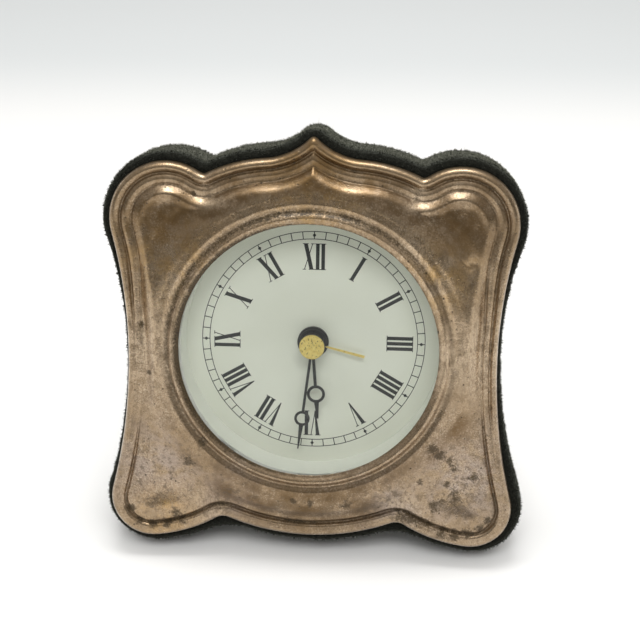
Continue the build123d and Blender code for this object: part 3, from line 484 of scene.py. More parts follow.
def sharpOutline(waist):
    slope, heelTurn = math.radians(edge["shoulderSlope"]), math.radians(edge["heel"])
    lobeJoin = joinOnCircle(edge["lobe"], edge["lobeRadius"], waist)
    footJoin = joinOnCircle(edge["foot"], edge["footRadius"], waist)
    notch = polar(edge["lobe"], edge["lobeRadius"], edge["lobeNotch"])
    heel = polar(edge["foot"], edge["footRadius"], edge["heel"])
    lobeEnd = np.degrees(np.arctan2(*(lobeJoin - edge["lobe"])[::-1]))
    footEnd = np.degrees(np.arctan2(*(footJoin - edge["foot"])[::-1]))
    steps = edge["arcSteps"]
    half = np.concatenate([
        tangentArc(edge["shoulder"], edge["tip"], (-math.cos(slope), math.sin(slope)))[::-1],
        tangentArc(edge["shoulder"], notch, (math.cos(slope), -math.sin(slope))),
        polar(edge["lobe"], edge["lobeRadius"], np.linspace(edge["lobeNotch"], lobeEnd, steps)),
        tangentArc(waist, lobeJoin, (0, 1))[::-1],
        tangentArc(waist, footJoin, (0, -1)),
        polar(edge["foot"], edge["footRadius"], np.linspace(footEnd, edge["heel"] - 360, steps)),
        tangentArc(heel, edge["baseNotch"], (math.sin(heelTurn), -math.cos(heelTurn))),
        tangentArc(edge["base"], edge["baseNotch"], (1, 0))[::-1],
    ])
    turns = np.arctan2(half[:, 0], half[:, 1])                          # clockwise from the tip
    order = np.argsort(turns)
    reach = np.hypot(half[:, 0], half[:, 1])
    wanted = np.arange(columns) * 2 * math.pi / columns
    wanted = np.where(wanted > math.pi, 2 * math.pi - wanted, wanted)
    return np.interp(wanted, turns[order], reach[order])


def distanceTo(radii, across, up, window):
    # distance from points, one row for each spoke, to the outline's segments near that spoke
    outline = np.stack([radii * spokeAcross, radii * spokeUp], axis=-1)
    best = np.full(across.shape, 1e9)
    for shift in range(-window, window + 1):
        start = np.roll(outline, -shift, axis=0)[:, None, :]
        along = np.roll(outline, -shift - 1, axis=0)[:, None, :] - start
        offsetA, offsetU = across - start[..., 0], up - start[..., 1]
        share = (offsetA * along[..., 0] + offsetU * along[..., 1]) / (along**2).sum(-1)
        share = np.clip(share, 0, 1)
        gap = np.hypot(offsetA - share * along[..., 0], offsetU - share * along[..., 1])
        best = np.minimum(best, gap)
    return best


def grow(radii, amount):
    # outline moved outwards by an amount, found along each spoke by halving; sharp corners move furthest
    low = radii - 4 * max(-amount, 0) - 0.01
    high = radii + 4 * max(amount, 0) + 0.01
    for step in range(edge["halvings"]):
        middle = (low + high) / 2
        across, up = (middle * spokeAcross)[:, None], (middle * spokeUp)[:, None]
        gap = distanceTo(radii, across, up, edge["nearSpokes"])[:, 0]
        beyond = np.where(middle > radii, gap, -gap) > amount
        high = np.where(beyond, middle, high)
        low = np.where(beyond, low, middle)
    return (low + high) / 2


def rounded(radii, size):
    radii = grow(grow(radii, -size["tipRound"]), size["tipRound"])
    upper = grow(grow(radii, size["notchRound"]), -size["notchRound"])
    lower = grow(grow(radii, size["baseRound"]), -size["baseRound"])
    return np.where(spokeUp > 0, upper, lower)


def inwardOf(outline):
    # unit normals of a clockwise outline, pointing in
    along = np.roll(outline, -1, axis=0) - np.roll(outline, 1, axis=0)
    inward = np.stack([along[:, 1], -along[:, 0]], axis=-1)
    return inward / np.hypot(*inward.T)[:, None]


silverEdge = rounded(sharpOutline(edge["waist"]), edge)
print("outline: half width", round(float((silverEdge * spokeAcross).max()), 2), "mm")


# Silver front: a pressed sheet, raised and grooved by distance from its edge and from the dial.
# Grooves and ridge: place, half width and depth. Spots: across, up, width and strength or depth.

silver = {
    "bead": (1.5, 2.7), "beadTop": 2.35,
    "upperRim": [(0.0, 2.35), (1.5, 2.35), (3.0, 1.5), (4.4, 1.9), (5.9, 1.5), (8.8, 2.6), (13.0, 2.7),
                 (26.0, 2.7)],
    "lowerRim": [(0.0, 2.35), (2.7, 2.35), (4.6, 2.3), (5.9, 1.55), (7.6, 2.2), (13.5, 2.75), (20.0, 2.55),
                 (32.0, 2.6)],
    "wornRim": [(0.0, 2.35), (2.7, 2.4), (9.0, 2.6), (26.0, 2.7)],
    "worn": [(-48.0, -7.0, 17.0, 0.85), (48.0, -6.0, 15.0, 0.3)],
    "lowerFrom": (-12.0, -32.0), "narrow": 0.7, "narrowFrom": (28.0, 6.0),
    "outerGroove": (3.0, 0.28, 0.40), "innerGroove": (5.9, 0.28, 0.36),
    "ridge": (7.9, 1.2, 0.95), "ridgeLeft": 0.3,
    "ridgeSpots": [(25.5, 39.5, 8.0), (-25.5, 39.5, 8.0), (0.0, 47.0, 4.5), (36.0, 40.5, 5.0),
                   (-36.0, 40.5, 5.0), (18.0, 42.0, 5.5), (-18.0, 42.0, 5.5)],
    "collar": [(34.0, 5.2), (35.7, 6.0), (37.5, 4.75), (39.0, 5.25), (41.0, 5.05), (50.0, 2.3), (58.0, 0.4)],
    "collarShoulder": (4.6, 8.6), "collarBlend": 0.9, "ringShift": (-0.6, -0.1),
    "dishes": [(36.5, 33.0, 8.5, 0.75), (-36.5, 33.0, 8.5, 0.6), (39.5, -37.5, 11.0, 0.7),
               (-39.5, -37.5, 11.0, 0.7)],
    "dishFrom": (5.0, 11.0),
    "crease": [(28.5, 36.7), (32.5, 31.4), (36.5, 26.3), (40.4, 22.8)],
    "creaseDepth": 0.28, "creaseWidth": 0.5, "dent": (41.0, 24.0, 1.6, 0.4),
    "waves": 0.07, "waveSeed": 11, "waveLengths": (40.0, 7.0), "waveFrom": (0.5, 4.0),
    "ringRows": 26, "fieldRows": 26, "rimRows": 44, "rimCrowding": 1.35, "nearSpokes": 60,
    "opening": 34.0, "ringEdge": 40.4, "rimReach": 10.0, "leastGap": 0.02,
    "turnIn": (0.5, 0.7), "sheet": 0.6, "shelf": (43.2, 5.6), "throat": [(38.4, 4.2), (36.6, 4.85)],
    "lipBack": 4.9,
}


def ease(value, low, high):
    share = np.clip((value - low) / (high - low), 0, 1)
    return share * share * (3 - 2 * share)


def softProfile(place, stops):
    # level along a row of stops, eased between each pair
    spots = np.array([stop[0] for stop in stops])
    levels = np.array([stop[1] for stop in stops])
    index = np.clip(np.searchsorted(spots, place) - 1, 0, len(spots) - 2)
    share = np.clip((place - spots[index]) / (spots[index + 1] - spots[index]), 0, 1)
    return levels[index] + (levels[index + 1] - levels[index]) * share * share * (3 - 2 * share)


def waves(across, up, seed, longest, shortest, count=18):
    # smooth unevenness about 1 high, from a few crossed ripples
    draw = np.random.default_rng(seed)
    total = np.zeros_like(across)
    for ripple in range(count):
        length = math.exp(draw.uniform(math.log(shortest), math.log(longest)))
        turn, phase = draw.uniform(0, 2 * math.pi, 2)
        total += np.sin((across * math.cos(turn) + up * math.sin(turn)) * 2 * math.pi / length + phase)
    return total / math.sqrt(count)


def hump(offset, width):
    return np.exp(-((offset / width) ** 2))


def pathDistance(across, up, stops):
    best = np.full(across.shape, 1e9)
    for start, end in zip(stops[:-1], stops[1:]):
        along = np.subtract(end, start)
        offsetA, offsetU = across - start[0], up - start[1]
        share = np.clip((offsetA * along[0] + offsetU * along[1]) / (along @ along), 0, 1)
        best = np.minimum(best, np.hypot(offsetA - share * along[0], offsetU - share * along[1]))
    return best


def marks(across, up, spots):
    # the highest of some round spots: place, width and, where it isn't 1, strength
    total = np.zeros_like(across)
    for spotA, spotU, width, *strength in spots:
        total = np.maximum(total, math.prod(strength) * hump(np.hypot(across - spotA, up - spotU), width))
    return total


def rimPlace(up, inset):
    # place across the rim, whose grooves draw together towards the waist
    return inset / (1 - (1 - silver["narrow"]) * ease(up, *silver["narrowFrom"]))


def ringRadius(across, up):
    return np.hypot(across - silver["ringShift"][0], up - silver["ringShift"][1])


def relief(across, up, inset):
    # height of the silver above the block's front; handling has flattened the mouldings at the waist
    lower = ease(up, *silver["lowerFrom"])
    worn = marks(across, up, silver["worn"])
    rim = rimPlace(up, inset)
    beadWidth = silver["bead"][0] + (silver["bead"][1] - silver["bead"][0]) * lower
    bead = silver["beadTop"] * np.sqrt(1 - np.clip(1 - rim / beadWidth, 0, 1) ** 2)
    profiles = ("upperRim", "lowerRim", "wornRim")
    upperRim, lowerRim, wornRim = (softProfile(rim, silver[profile]) for profile in profiles)
    moulded = upperRim + (lowerRim - upperRim) * lower
    field = np.where(rim < beadWidth, bead, moulded + (wornRim - moulded) * worn)
    place, half, depth = silver["outerGroove"]
    field = field - (1 - worn) * (1 - lower) * depth * hump(rim - place, half)
    place, half, depth = silver["innerGroove"]
    field = field - (1 - worn) * depth * hump(rim - place, half)
    place, half, depth = silver["ridge"]
    strength = silver["ridgeLeft"] + (1 - silver["ridgeLeft"]) * marks(across, up, silver["ridgeSpots"])
    field = field + (1 - lower) * strength * depth * hump(inset - place, half)
    field = field - marks(across, up, silver["dishes"]) * ease(inset, *silver["dishFrom"])
    above = softProfile(ringRadius(across, up), silver["collar"]) - field
    lift = (above + np.sqrt(above**2 + silver["collarBlend"] ** 2)) / 2
    field = field + lift * ease(inset, *silver["collarShoulder"])
    crease = hump(pathDistance(across, up, silver["crease"]), silver["creaseWidth"])
    field = field - silver["creaseDepth"] * crease - marks(across, up, [silver["dent"]])
    uneven = waves(across, up, silver["waveSeed"], *silver["waveLengths"])
    return field + silver["waves"] * uneven * ease(inset, *silver["waveFrom"])


def mouthOnSpokes():
    # where each spoke meets the opening's circle
    shiftU, shiftV = silver["ringShift"]
    along = shiftU * spokeAcross + shiftV * spokeUp
    return along + np.sqrt(silver["opening"] ** 2 - shiftU**2 - shiftV**2 + along**2)


def silverRows():
    # distance from the dial's axis of each row of points, along every spoke
    mouth = mouthOnSpokes()
    shares = np.linspace(0, 1, silver["fieldRows"] + 1)[1:]
    steps = np.linspace(0, 1, silver["rimRows"] + 1)[1:]
    rows = [mouth + (silver["ringEdge"] - mouth) * share for share in np.linspace(0, 1, silver["ringRows"])]
    rimStart = np.maximum(silverEdge - silver["rimReach"], silver["ringEdge"] + silver["leastGap"])
    rows += [silver["ringEdge"] + (rimStart - silver["ringEdge"]) * share for share in shares]
    rows += [silverEdge - (silverEdge - rimStart) * (1 - step) ** silver["rimCrowding"] for step in steps]
    return np.array(rows)


def silverBack(mouth):
    # turned-in edge, flat sheet, then the wall behind the ring
    turn, sheetTurn = silver["turnIn"]
    shelf, margin = silver["shelf"]
    rows = [(silverEdge - turn, 0.0), (silverEdge - sheetTurn, silver["sheet"]),
            (np.minimum(shelf, silverEdge - margin), silver["sheet"])]
    rows += [(np.full(columns, reach), level) for reach, level in silver["throat"]]
    rows.append((mouth + silver["leastGap"], silver["lipBack"]))
    return np.array([onFace(reach * spokeAcross, reach * spokeUp, level) for reach, level in rows])


# tarnish marks, some of them painted light: the polish spots are partly painted highlights, the lip band is
# painted shadow and the trough band partly painted shade
tarnishAndPaintedLight = {
    "stain": [(-32.4, -31.7, 2.4), (-28.8, -25.9, 1.8), (32.3, -25.3, 2.2), (34.8, -27.7, 2.4),
              (37.2, -29.6, 1.6), (38.9, -31.8, 1.5), (37.0, -36.5, 1.6), (29.7, -35.6, 1.5),
              (39.2, -39.9, 2.4), (33.5, -43.0, 2.6), (36.0, -41.5, 2.2), (-36.0, -48.0, 1.8),
              (-42.7, -7.2, 1.0), (-45.3, 5.7, 1.6), (0.5, -42.0, 1.8), (-4.0, -41.6, 1.4),
              (10.0, -42.5, 2.2), (-30.5, 40.5, 1.2), (-20.0, 35.5, 1.0), (44.0, -34.0, 2.0),
              (24.7, -46.4, 2.0), (27.2, -46.9, 2.0), (29.7, -47.7, 2.3), (32.0, -48.4, 2.0),
              (36.0, -51.0, 2.1), (39.5, -51.2, 2.3), (43.0, -50.2, 2.3), (46.0, -48.6, 2.0),
              (48.2, -46.3, 1.8), (-49.0, -46.8, 1.6), (-46.6, -50.0, 1.8), (-43.0, -51.2, 1.7),
              (-39.0, -50.9, 1.7), (-35.0, -49.4, 1.6), (-36.5, -47.3, 2.0)],
    "plum": [(-41.0, -36.0, 13.0), (41.0, -35.0, 13.0), (22.0, -42.0, 9.0), (-22.0, -41.0, 9.0)],
    "gold": [(33.0, 22.0, 9.0), (-38.0, 26.0, 12.0), (-40.0, -47.0, 8.0), (0.0, 44.0, 12.0)],
    # polish: rubbed spots, partly painted highlights on the ridges, the waist and beside the ring
    "polishAndHighlight": [(-44.5, 2.0, 14.0), (45.0, 1.0, 13.0), (34.0, 20.0, 9.0), (-36.0, 16.0, 11.0),
               (28.0, 28.0, 6.0), (-26.0, 40.0, 5.0), (-18.0, 42.5, 5.0), (26.0, 40.0, 5.0),
               (18.0, 42.5, 5.0), (-37.0, 42.0, 4.0), (37.0, 42.0, 4.0), (24.0, -43.0, 5.0),
               (-27.0, -45.5, 5.0), (36.0, 0.0, 9.0)],
    "patinaAndShade": [(38.0, 36.0, 11.0), (-38.0, 36.0, 11.0), (0.0, 45.0, 12.0), (17.0, 42.0, 8.0),
               (-18.0, 41.0, 9.0), (0.0, -44.0, 9.0), (-14.0, -42.0, 8.0), (12.0, -42.5, 7.0),
               (-21.0, -39.5, 7.0), (-30.0, -28.0, 5.0), (38.0, -19.0, 6.0), (31.0, -25.0, 5.0)],
    "smudgeAndShade": [(-35.4, 38.0, 4.0), (-6.5, 43.0, 5.0), (3.0, 43.5, 4.0), (-21.5, 38.5, 3.0),
               (19.0, 41.0, 3.5), (38.0, 38.5, 5.0), (-31.0, -30.5, 3.0), (0.0, -42.0, 5.0),
               (-13.0, -40.0, 4.0), (13.0, -40.0, 4.0), (-21.0, -38.5, 4.5), (-7.0, -44.0, 7.0),
               (6.0, -44.0, 6.0), (15.0, -43.0, 5.0), (23.0, -39.5, 4.0)],
    "feet": [(-46.6, -51.4, 6.5), (-38.2, -52.0, 5.5), (-25.7, -46.6, 4.5), (39.6, -50.1, 6.0),
             (48.8, -45.9, 5.0), (24.5, -46.0, 5.0), (0.0, -50.5, 9.0)],
    "clearRing": (40.5, 43.5), "lowBand": (40.6, 2.6), "lowDarkening": 0.7,
    "trough": (10.2, 1.6), "troughFrom": (24.0, 34.0), "troughDarkening": 0.8,
    "ringGroove": 37.3, "ringShare": (0.35, 0.6), "footGroove": 6.4, "crown": 36.5,
    "lipShare": (0.7, 1.3), "lipWidth": (0.6, 0.7),
    "unevenSeed": 5, "unevenLengths": (30.0, 4.0),
}
grimeAndShadeBands = {                                                  # strength, width and evenness
    "outer": (0.8, 0.5, 0.45), "inner": (0.7, 0.5, 0.4), "ring": (1.0, 1.0, 0.7),
    "foot": (1.0, 1.5, 0.35), "edge": (0.6, 0.25, 1.0), "crown": (0.6, 0.8, 1.0),
}


def tarnishAndPaintedLightOf(across, up, inset):
    # how much of each kind of tarnish and painted light lies on each point of the front
    radius, rim = ringRadius(across, up), rimPlace(up, inset)
    kept = 1 - marks(across, up, silver["worn"])
    upper = 1 - ease(up, *silver["lowerFrom"])
    toLeft, toTop, toFoot = (np.clip(value / radius, 0, 1) for value in (-across, up, -up))
    upperLeft = 0.5 + 0.5 * (0.8 * up - 0.6 * across) / radius
    ripples = waves(across, up, tarnishAndPaintedLight["unevenSeed"], *tarnishAndPaintedLight["unevenLengths"])
    uneven = 0.5 + 0.5 * np.clip(ripples, -1, 1)

    def soilAndShade(kind, offset):
        strength, width, even = grimeAndShadeBands[kind]
        return strength * hump(offset, width) * (even + (1 - even) * uneven)

    def grading(key, share):
        return tarnishAndPaintedLight[key][0] + tarnishAndPaintedLight[key][1] * share

    clear = ease(radius, *tarnishAndPaintedLight["clearRing"])
    # a band under the ring, darker towards the bottom
    place, width = tarnishAndPaintedLight["lowBand"]
    low = toFoot**2 * hump(radius - place, width)
    # the trough inside the upper ridge: tarnish in that hollow and painted shade under the ridge
    place, width = tarnishAndPaintedLight["trough"]
    trough = hump(inset - place, width) * ease(up, *tarnishAndPaintedLight["troughFrom"]) * clear
    kinds = ("stain", "plum", "gold", "polishAndHighlight", "patinaAndShade", "smudgeAndShade", "feet")
    fields = {kind: marks(across, up, tarnishAndPaintedLight[kind]) for kind in kinds}
    fields["patinaAndShade"] = np.maximum.reduce([fields["patinaAndShade"] * clear, low, trough])
    fields["smudgeAndShade"] = np.maximum.reduce([
        fields["smudgeAndShade"] * clear, tarnishAndPaintedLight["troughDarkening"] * trough, tarnishAndPaintedLight["lowDarkening"] * low])
    # grime and painted shade: darker in the grooves, along the outer edge, on the ring's top crest and
    # towards the upper left of the ring groove; the band on the opening's lip is a painted shadow, strongest
    # on the left
    fields["grimeAndShade"] = (
        kept * upper * soilAndShade("outer", rim - silver["outerGroove"][0])
        + kept * soilAndShade("inner", rim - silver["innerGroove"][0])
        + grading("ringShare", upperLeft) * soilAndShade("ring", radius - tarnishAndPaintedLight["ringGroove"])
        + grading("lipShare", toLeft) * hump(radius - silver["opening"], grading("lipWidth", toLeft))
        + fields.pop("feet") * soilAndShade("foot", rim - tarnishAndPaintedLight["footGroove"])
        + soilAndShade("edge", inset)
        + toTop**2 * soilAndShade("crown", radius - tarnishAndPaintedLight["crown"])
    )
    return fields


def makeSilver():
    radii = silverRows()
    across, up = radii * spokeAcross, radii * spokeUp
    inset = distanceTo(silverEdge, across.T, up.T, silver["nearSpokes"]).T
    inset[-1] = 0
    front = onFace(across, up, relief(across, up, inset))
    points = np.concatenate([front, silverBack(radii[0])])
    faces = loopFaces(len(points), columns, True)
    mesh = meshFrom("silverFront", points.reshape(-1, 3), faces, finishes["silver"])
    for label, values in tarnishAndPaintedLightOf(across, up, inset).items():
        full = np.zeros(points.shape[:2], np.float32)
        full[:len(radii)] = np.clip(values, 0, 2)
        mesh.attributes.new(label, "FLOAT", "POINT").data.foreach_set("value", full.ravel())
    piece("silverFront", mesh, "clock", "silver", "silver_front")
    print("silver front:", len(mesh.polygons), "faces")


makeSilver()


# Velvet over the block: rolled edges, a flat back and the square opening for the movement

velvet = {
    "overhang": 2.0, "tipRound": 3.0, "notchRound": 4.0, "baseRound": 18.0, "waistInset": 1.25,
    "slip": 0.7, "slipFrom": (10.0, -40.0),
    "depth": 22.0, "frontRound": 1.6, "backRound": 4.0, "skin": 0.85, "underSilver": 7.0,
    "sideRows": 14, "roundRows": 7, "backRows": 22,
    "holeHalf": 28.5, "holeDrop": 2.0, "holeRound": 3.0, "holeLip": 2.0,
    "holeReach": (10.0, 60.0), "halvings": 30,
    "puckers": 0.08, "puckerSeed": 23, "puckerLengths": (26.0, 5.0), "puckerSkew": (3.0, -2.0),
    "puckerRim": 3.0, "sink": 0.12, "sinkSeed": 24, "sinkLengths": (30.0, 8.0),
    "fittings": ("frame_leaf", "movement_clips"), "bareMargin": 0.7, "strutClear": (17.0, -30.0, -18.5),
}
pile = {
    "perSquareMetre": 4.2e6, "length": 0.62, "thickness": 0.085, "lean": 0.8, "clump": 900.0, "seed": 4,
}
strutPile = dict(pile, perSquareMetre=3.36e6)
backPile = dict(strutPile, length=0.36, lean=1.0)            # the folded strut lies close to it
strays = {
    "perSquareMetre": 5.0e4, "length": 1.7, "thickness": 0.022, "lean": 1.0, "clump": 300.0, "seed": 9,
}


def velvetOutline():
    waist = (edge["waist"][0] - velvet["waistInset"], edge["waist"][1])
    radii = grow(rounded(sharpOutline(waist), velvet), velvet["overhang"])
    outline = np.stack([radii * spokeAcross, radii * spokeUp], axis=-1)
    outline[:, 0] += velvet["slip"] * ease(outline[:, 1], *velvet["slipFrom"])
    return outline


def holeOutline():
    # rounded square round the movement, one point on each spoke
    rounding = velvet["holeRound"]
    half = velvet["holeHalf"] - rounding
    low, high = (np.full(columns, reach) for reach in velvet["holeReach"])
    for step in range(velvet["halvings"]):
        middle = (low + high) / 2
        sideways = np.abs(middle * spokeAcross) - half
        upwards = np.abs(middle * spokeUp + velvet["holeDrop"]) - half
        gap = np.hypot(np.maximum(sideways, 0), np.maximum(upwards, 0))
        gap = gap + np.minimum(np.maximum(sideways, upwards), 0)
        low = np.where(gap < rounding, middle, low)
        high = np.where(gap < rounding, high, middle)
    return np.stack([low * spokeAcross, low * spokeUp], axis=-1)


def shellsOf(node, centre=dialCentre, axes=faceAxes):
    # millimetre points of each separate solid of a node, sorted by place because a set keeps no order
    build = bmesh.new()
    build.from_mesh(frame["nodes"][node].data)
    build.transform(frame["nodes"][node].matrix_world)
    bmesh.ops.remove_doubles(build, verts=build.verts, dist=1e-6)      # its triangles come unjoined
    waiting, shells = set(build.verts), []
    while waiting:
        front, shell = [waiting.pop()], []
        while front:
            vertex = front.pop()
            shell.append(vertex.co[:])
            near = {side.other_vert(vertex) for side in vertex.link_edges} & waiting
            waiting -= near
            front += near
        shells.append((np.array(shell) - centre) @ axes.T / mm)
    build.free()
    return sorted(shells, key=lambda spots: tuple(spots.min(0).round(1)))


fittingBoxes = [(shell.min(0) - velvet["bareMargin"], shell.max(0) + velvet["bareMargin"])
                for node in velvet["fittings"] for shell in shellsOf(node)]


def underFittings(spots):
    covered = np.zeros(len(spots), bool)
    for low, high in fittingBoxes:
        covered |= ((spots[:, :2] > low[:2]) & (spots[:, :2] < high[:2])).all(axis=1)
    return covered


def nearStrut(spots):
    # the strip that the folded strut's end comes close to
    across, up, out = velvet["strutClear"]
    return (np.abs(spots[:, 0]) < across) & (spots[:, 1] < up) & (spots[:, 2] < out)


def makeVelvet():
    outline, hole = velvetOutline(), holeOutline()
    inward = inwardOf(outline)
    quarter = np.linspace(0, math.pi / 2, velvet["roundRows"])
    front, rear, depth = velvet["frontRound"], velvet["backRound"], velvet["depth"]
    rows = [(velvet["underSilver"], 0.0)]
    rows += [(front * (1 - math.sin(turn)), front * (math.cos(turn) - 1)) for turn in quarter]
    rows += [(0.0, level) for level in np.linspace(-front, rear - depth, velvet["sideRows"] + 2)[1:-1]]
    rows += [(rear * (1 - math.cos(turn)), rear - depth - rear * math.sin(turn)) for turn in quarter]
    shell = []
    for inset, level in rows:
        line = outline + inset * inward
        if inset < velvet["puckerRim"]:
            skewed = (line + level * np.array(velvet["puckerSkew"])).T
            pucker = velvet["puckers"] * waves(*skewed, velvet["puckerSeed"], *velvet["puckerLengths"])
            line = line + pucker[:, None] * inward
        shell.append(onFace(*line.T, level))
    backEdge = outline + rear * inward
    for share in np.linspace(0, 1, velvet["backRows"] + 1)[1:]:
        line = backEdge + (hole - backEdge) * share
        sink = 1 + waves(*line.T, velvet["sinkSeed"], *velvet["sinkLengths"])
        sink = np.maximum(velvet["sink"] * sink * (1 - share), 0.0)
        shell.append(onFace(*line.T, np.where(underFittings(line), 0.0, sink) - depth))
    shell.append(onFace(*hole.T, velvet["holeLip"] - depth))
    grid = np.array(shell)
    grid[..., 2] = np.maximum(grid[..., 2], 0.0)              # flat where it stands on the table
    mesh = meshFrom("velvetCover", grid.reshape(-1, 3), loopFaces(len(shell), columns), finishes["velvet"])
    addSkin(piece("velvetCover", mesh, "clock", "velvet", "velvet_cover"), velvet["skin"])
    last = len(rows) - 1
    return grid[1:last + 1].reshape(-1, 3), grid[last:].reshape(-1, 3)


def napTree():
    sizes = {"Density": "Float", "Length": "Float", "Thickness": "Float", "Lean": "Float", "Clump": "Float",
             "Seed": "Int", "Pile": "Material"}
    tree, wire, given = startTree("velvetNap", sizes)
    bare = wire.add("GeometryNodeInputNamedAttribute", {"data_type": "FLOAT"}, {"Name": "bare"})
    roots = wire.add("GeometryNodeDistributePointsOnFaces", {"distribute_method": "RANDOM"}, {
        "Mesh": given["Geometry"], "Density": given["Density"] * (1.0 - bare), "Seed": given["Seed"]})
    stand = Wire(tree, roots.socket.node.outputs["Rotation"])
    hair = wire.add("GeometryNodeMeshCone", {"fill_type": "NGON"}, {
        "Vertices": 3, "Side Segments": 1, "Fill Segments": 1, "Radius Top": 0.0,
        "Radius Bottom": given["Thickness"], "Depth": given["Length"]})
    height = wire.axis(wire.add("GeometryNodeInputPosition"), 2)
    hair = wire.add("GeometryNodeStoreNamedAttribute", {"data_type": "FLOAT", "domain": "POINT"}, {
        "Geometry": hair, "Name": "tip", "Value": wire.sum("DIVIDE", height, given["Length"])})
    lean = wire.add("FunctionNodeRandomValue", {"data_type": "FLOAT_VECTOR"}, {
        0: (-1.0, -1.0, -3.14), 1: (1.0, 1.0, 3.14), "Seed": 1})
    lean = wire.add("ShaderNodeVectorMath", {"operation": "SCALE"}, {0: lean, "Scale": given["Lean"]})
    lean = wire.add("FunctionNodeEulerToRotation", {}, {0: lean})
    leaning = wire.add("FunctionNodeRotateRotation", {"rotation_space": "LOCAL"}, {0: stand, 1: lean})
    size = wire.add("FunctionNodeRandomValue", {"data_type": "FLOAT"}, {2: 0.5, 3: 1.2, "Seed": 2}, 1)
    clump = wire.add("ShaderNodeTexNoise", {}, {"Scale": given["Clump"], "Detail": 1.0})
    size = size * clump.between(0.3, 0.62) + 0.25
    hairs = wire.add("GeometryNodeInstanceOnPoints", {}, {
        "Points": roots, "Instance": hair, "Rotation": leaning, "Scale": size})
    closeTree(wire, hairs, given["Pile"])
    return tree


def makeNap(name, grid, rowsOf, body, fibre, bare=None):
    faces = loopFaces(len(grid) // rowsOf, rowsOf)
    ground = meshFrom(name + "Ground", grid, faces, finishes["velvet"])
    covered = bare((grid - dialCentre) @ faceAxes.T / mm) if bare else np.zeros(len(grid))
    ground.attributes.new("bare", "FLOAT", "POINT").data.foreach_set("value", covered.astype(np.float32))
    mesh = grown(name, nap, ground, {
        "Density": fibre["perSquareMetre"], "Length": fibre["length"] * mm,
        "Thickness": fibre["thickness"] * mm, "Lean": fibre["lean"], "Clump": fibre["clump"],
        "Seed": fibre["seed"], "Pile": finishes["velvet"]})
    coords = np.zeros(len(mesh.vertices) * 3, np.float32)
    mesh.vertices.foreach_get("co", coords)
    coords[2::3] = np.maximum(coords[2::3], 0.0)              # no hair goes below the table
    mesh.vertices.foreach_set("co", coords)
    piece(name, mesh, body, "velvet")
    print(name + ":", len(mesh.polygons), "faces")


velvetSides, velvetBack = makeVelvet()
nap = napTree()
makeNap("velvetNapSides", velvetSides, columns, "clock", pile, nearStrut)
makeNap("velvetNapBack", velvetBack, columns, "clock", backPile, underFittings)
makeNap("velvetStrays", velvetSides, columns, "clock", strays, nearStrut)


# Printing on the dial

dialFace = -6.2
ink = {
    "thickness": 0.03, "trackInner": 28.0, "trackOuter": 30.0, "trackLine": 0.20,
    "tickWidth": 0.24, "ticks": 60, "diamondHigh": 1.25, "diamondWide": 0.95,
    "diamondProud": 1.5, "hours": 12,
}
numerals = {
    "words": ["XII", "I", "II", "III", "IIII", "V", "VI", "VII", "VIII", "IX", "X", "XI"],
    "foot": 19.7, "head": 26.8, "serif": 0.2,
}
letters = {                 # bars run from left and right at the foot to left and right at the head
    "I": {"step": 1.45, "bars": [(0.25, 1.2, 0.25, 1.2)],
          "headSerifs": [(-0.03, 1.48)], "footSerifs": [(-0.03, 1.48)]},
    "V": {"step": 3.25, "bars": [(1.5, 1.8, 0.3, 1.345), (1.5, 1.72, 2.58, 2.8)],
          "headSerifs": [(0.05, 1.595), (2.25, 3.15)], "footSerifs": []},
    "X": {"step": 3.3, "bars": [(1.905, 2.95, 0.3, 1.345), (0.4, 0.62, 2.58, 2.8)],
          "headSerifs": [(0.05, 1.595), (2.25, 3.15)], "footSerifs": [(0.05, 0.95), (1.655, 3.25)]},
}


def strokesOf(letter):
    # corners of each stroke of a letter, from its left edge and its foot
    high, thin = numerals["head"] - numerals["foot"], numerals["serif"]
    strokes = [(*bar, 0, high) for bar in letter["bars"]]
    strokes += [(*serif, *serif, high - thin, high) for serif in letter["headSerifs"]]
    strokes += [(*serif, *serif, 0, thin) for serif in letter["footSerifs"]]
    return [[(footLeft, low), (footRight, low), (headRight, top), (headLeft, top)]
            for footLeft, footRight, headLeft, headRight, low, top in strokes]


def prism(corners, low, high):
    # closed slab over a flat outline, as points and faces
    count = len(corners)
    points = [(*corner, low) for corner in corners] + [(*corner, high) for corner in corners]
    faces = [tuple(range(count))[::-1], tuple(range(count, 2 * count))]
    faces += [(i, (i + 1) % count, count + (i + 1) % count, count + i) for i in range(count)]
    return points, faces


def joined(shapes):
    points, faces = [], []
    for shapePoints, shapeFaces in shapes:
        start = len(points)
        points += shapePoints
        faces += [tuple(start + corner for corner in face) for face in shapeFaces]
    return points, faces


def circlePoints(radius, level, steps):
    turns = np.linspace(0, 2 * math.pi, steps, endpoint=False)
    return [(radius * math.cos(turn), radius * math.sin(turn), level) for turn in turns]


def annulus(inner, outer, low, high, steps=180):
    rows = [(inner, low), (outer, low), (outer, high), (inner, high)]
    points = [point for radius, level in rows for point in circlePoints(radius, level, steps)]
    return points, loopFaces(len(rows), steps, True)


def printed(name, shapes):
    points, faces = joined(shapes)
    mesh = meshFrom(name, onFace(*np.array(points).T), faces, finishes["ink"], False)
    piece(name, mesh, "clock", "black_metal")


def raised(level):
    return faceMatrix @ Matrix.Translation((0, 0, level))


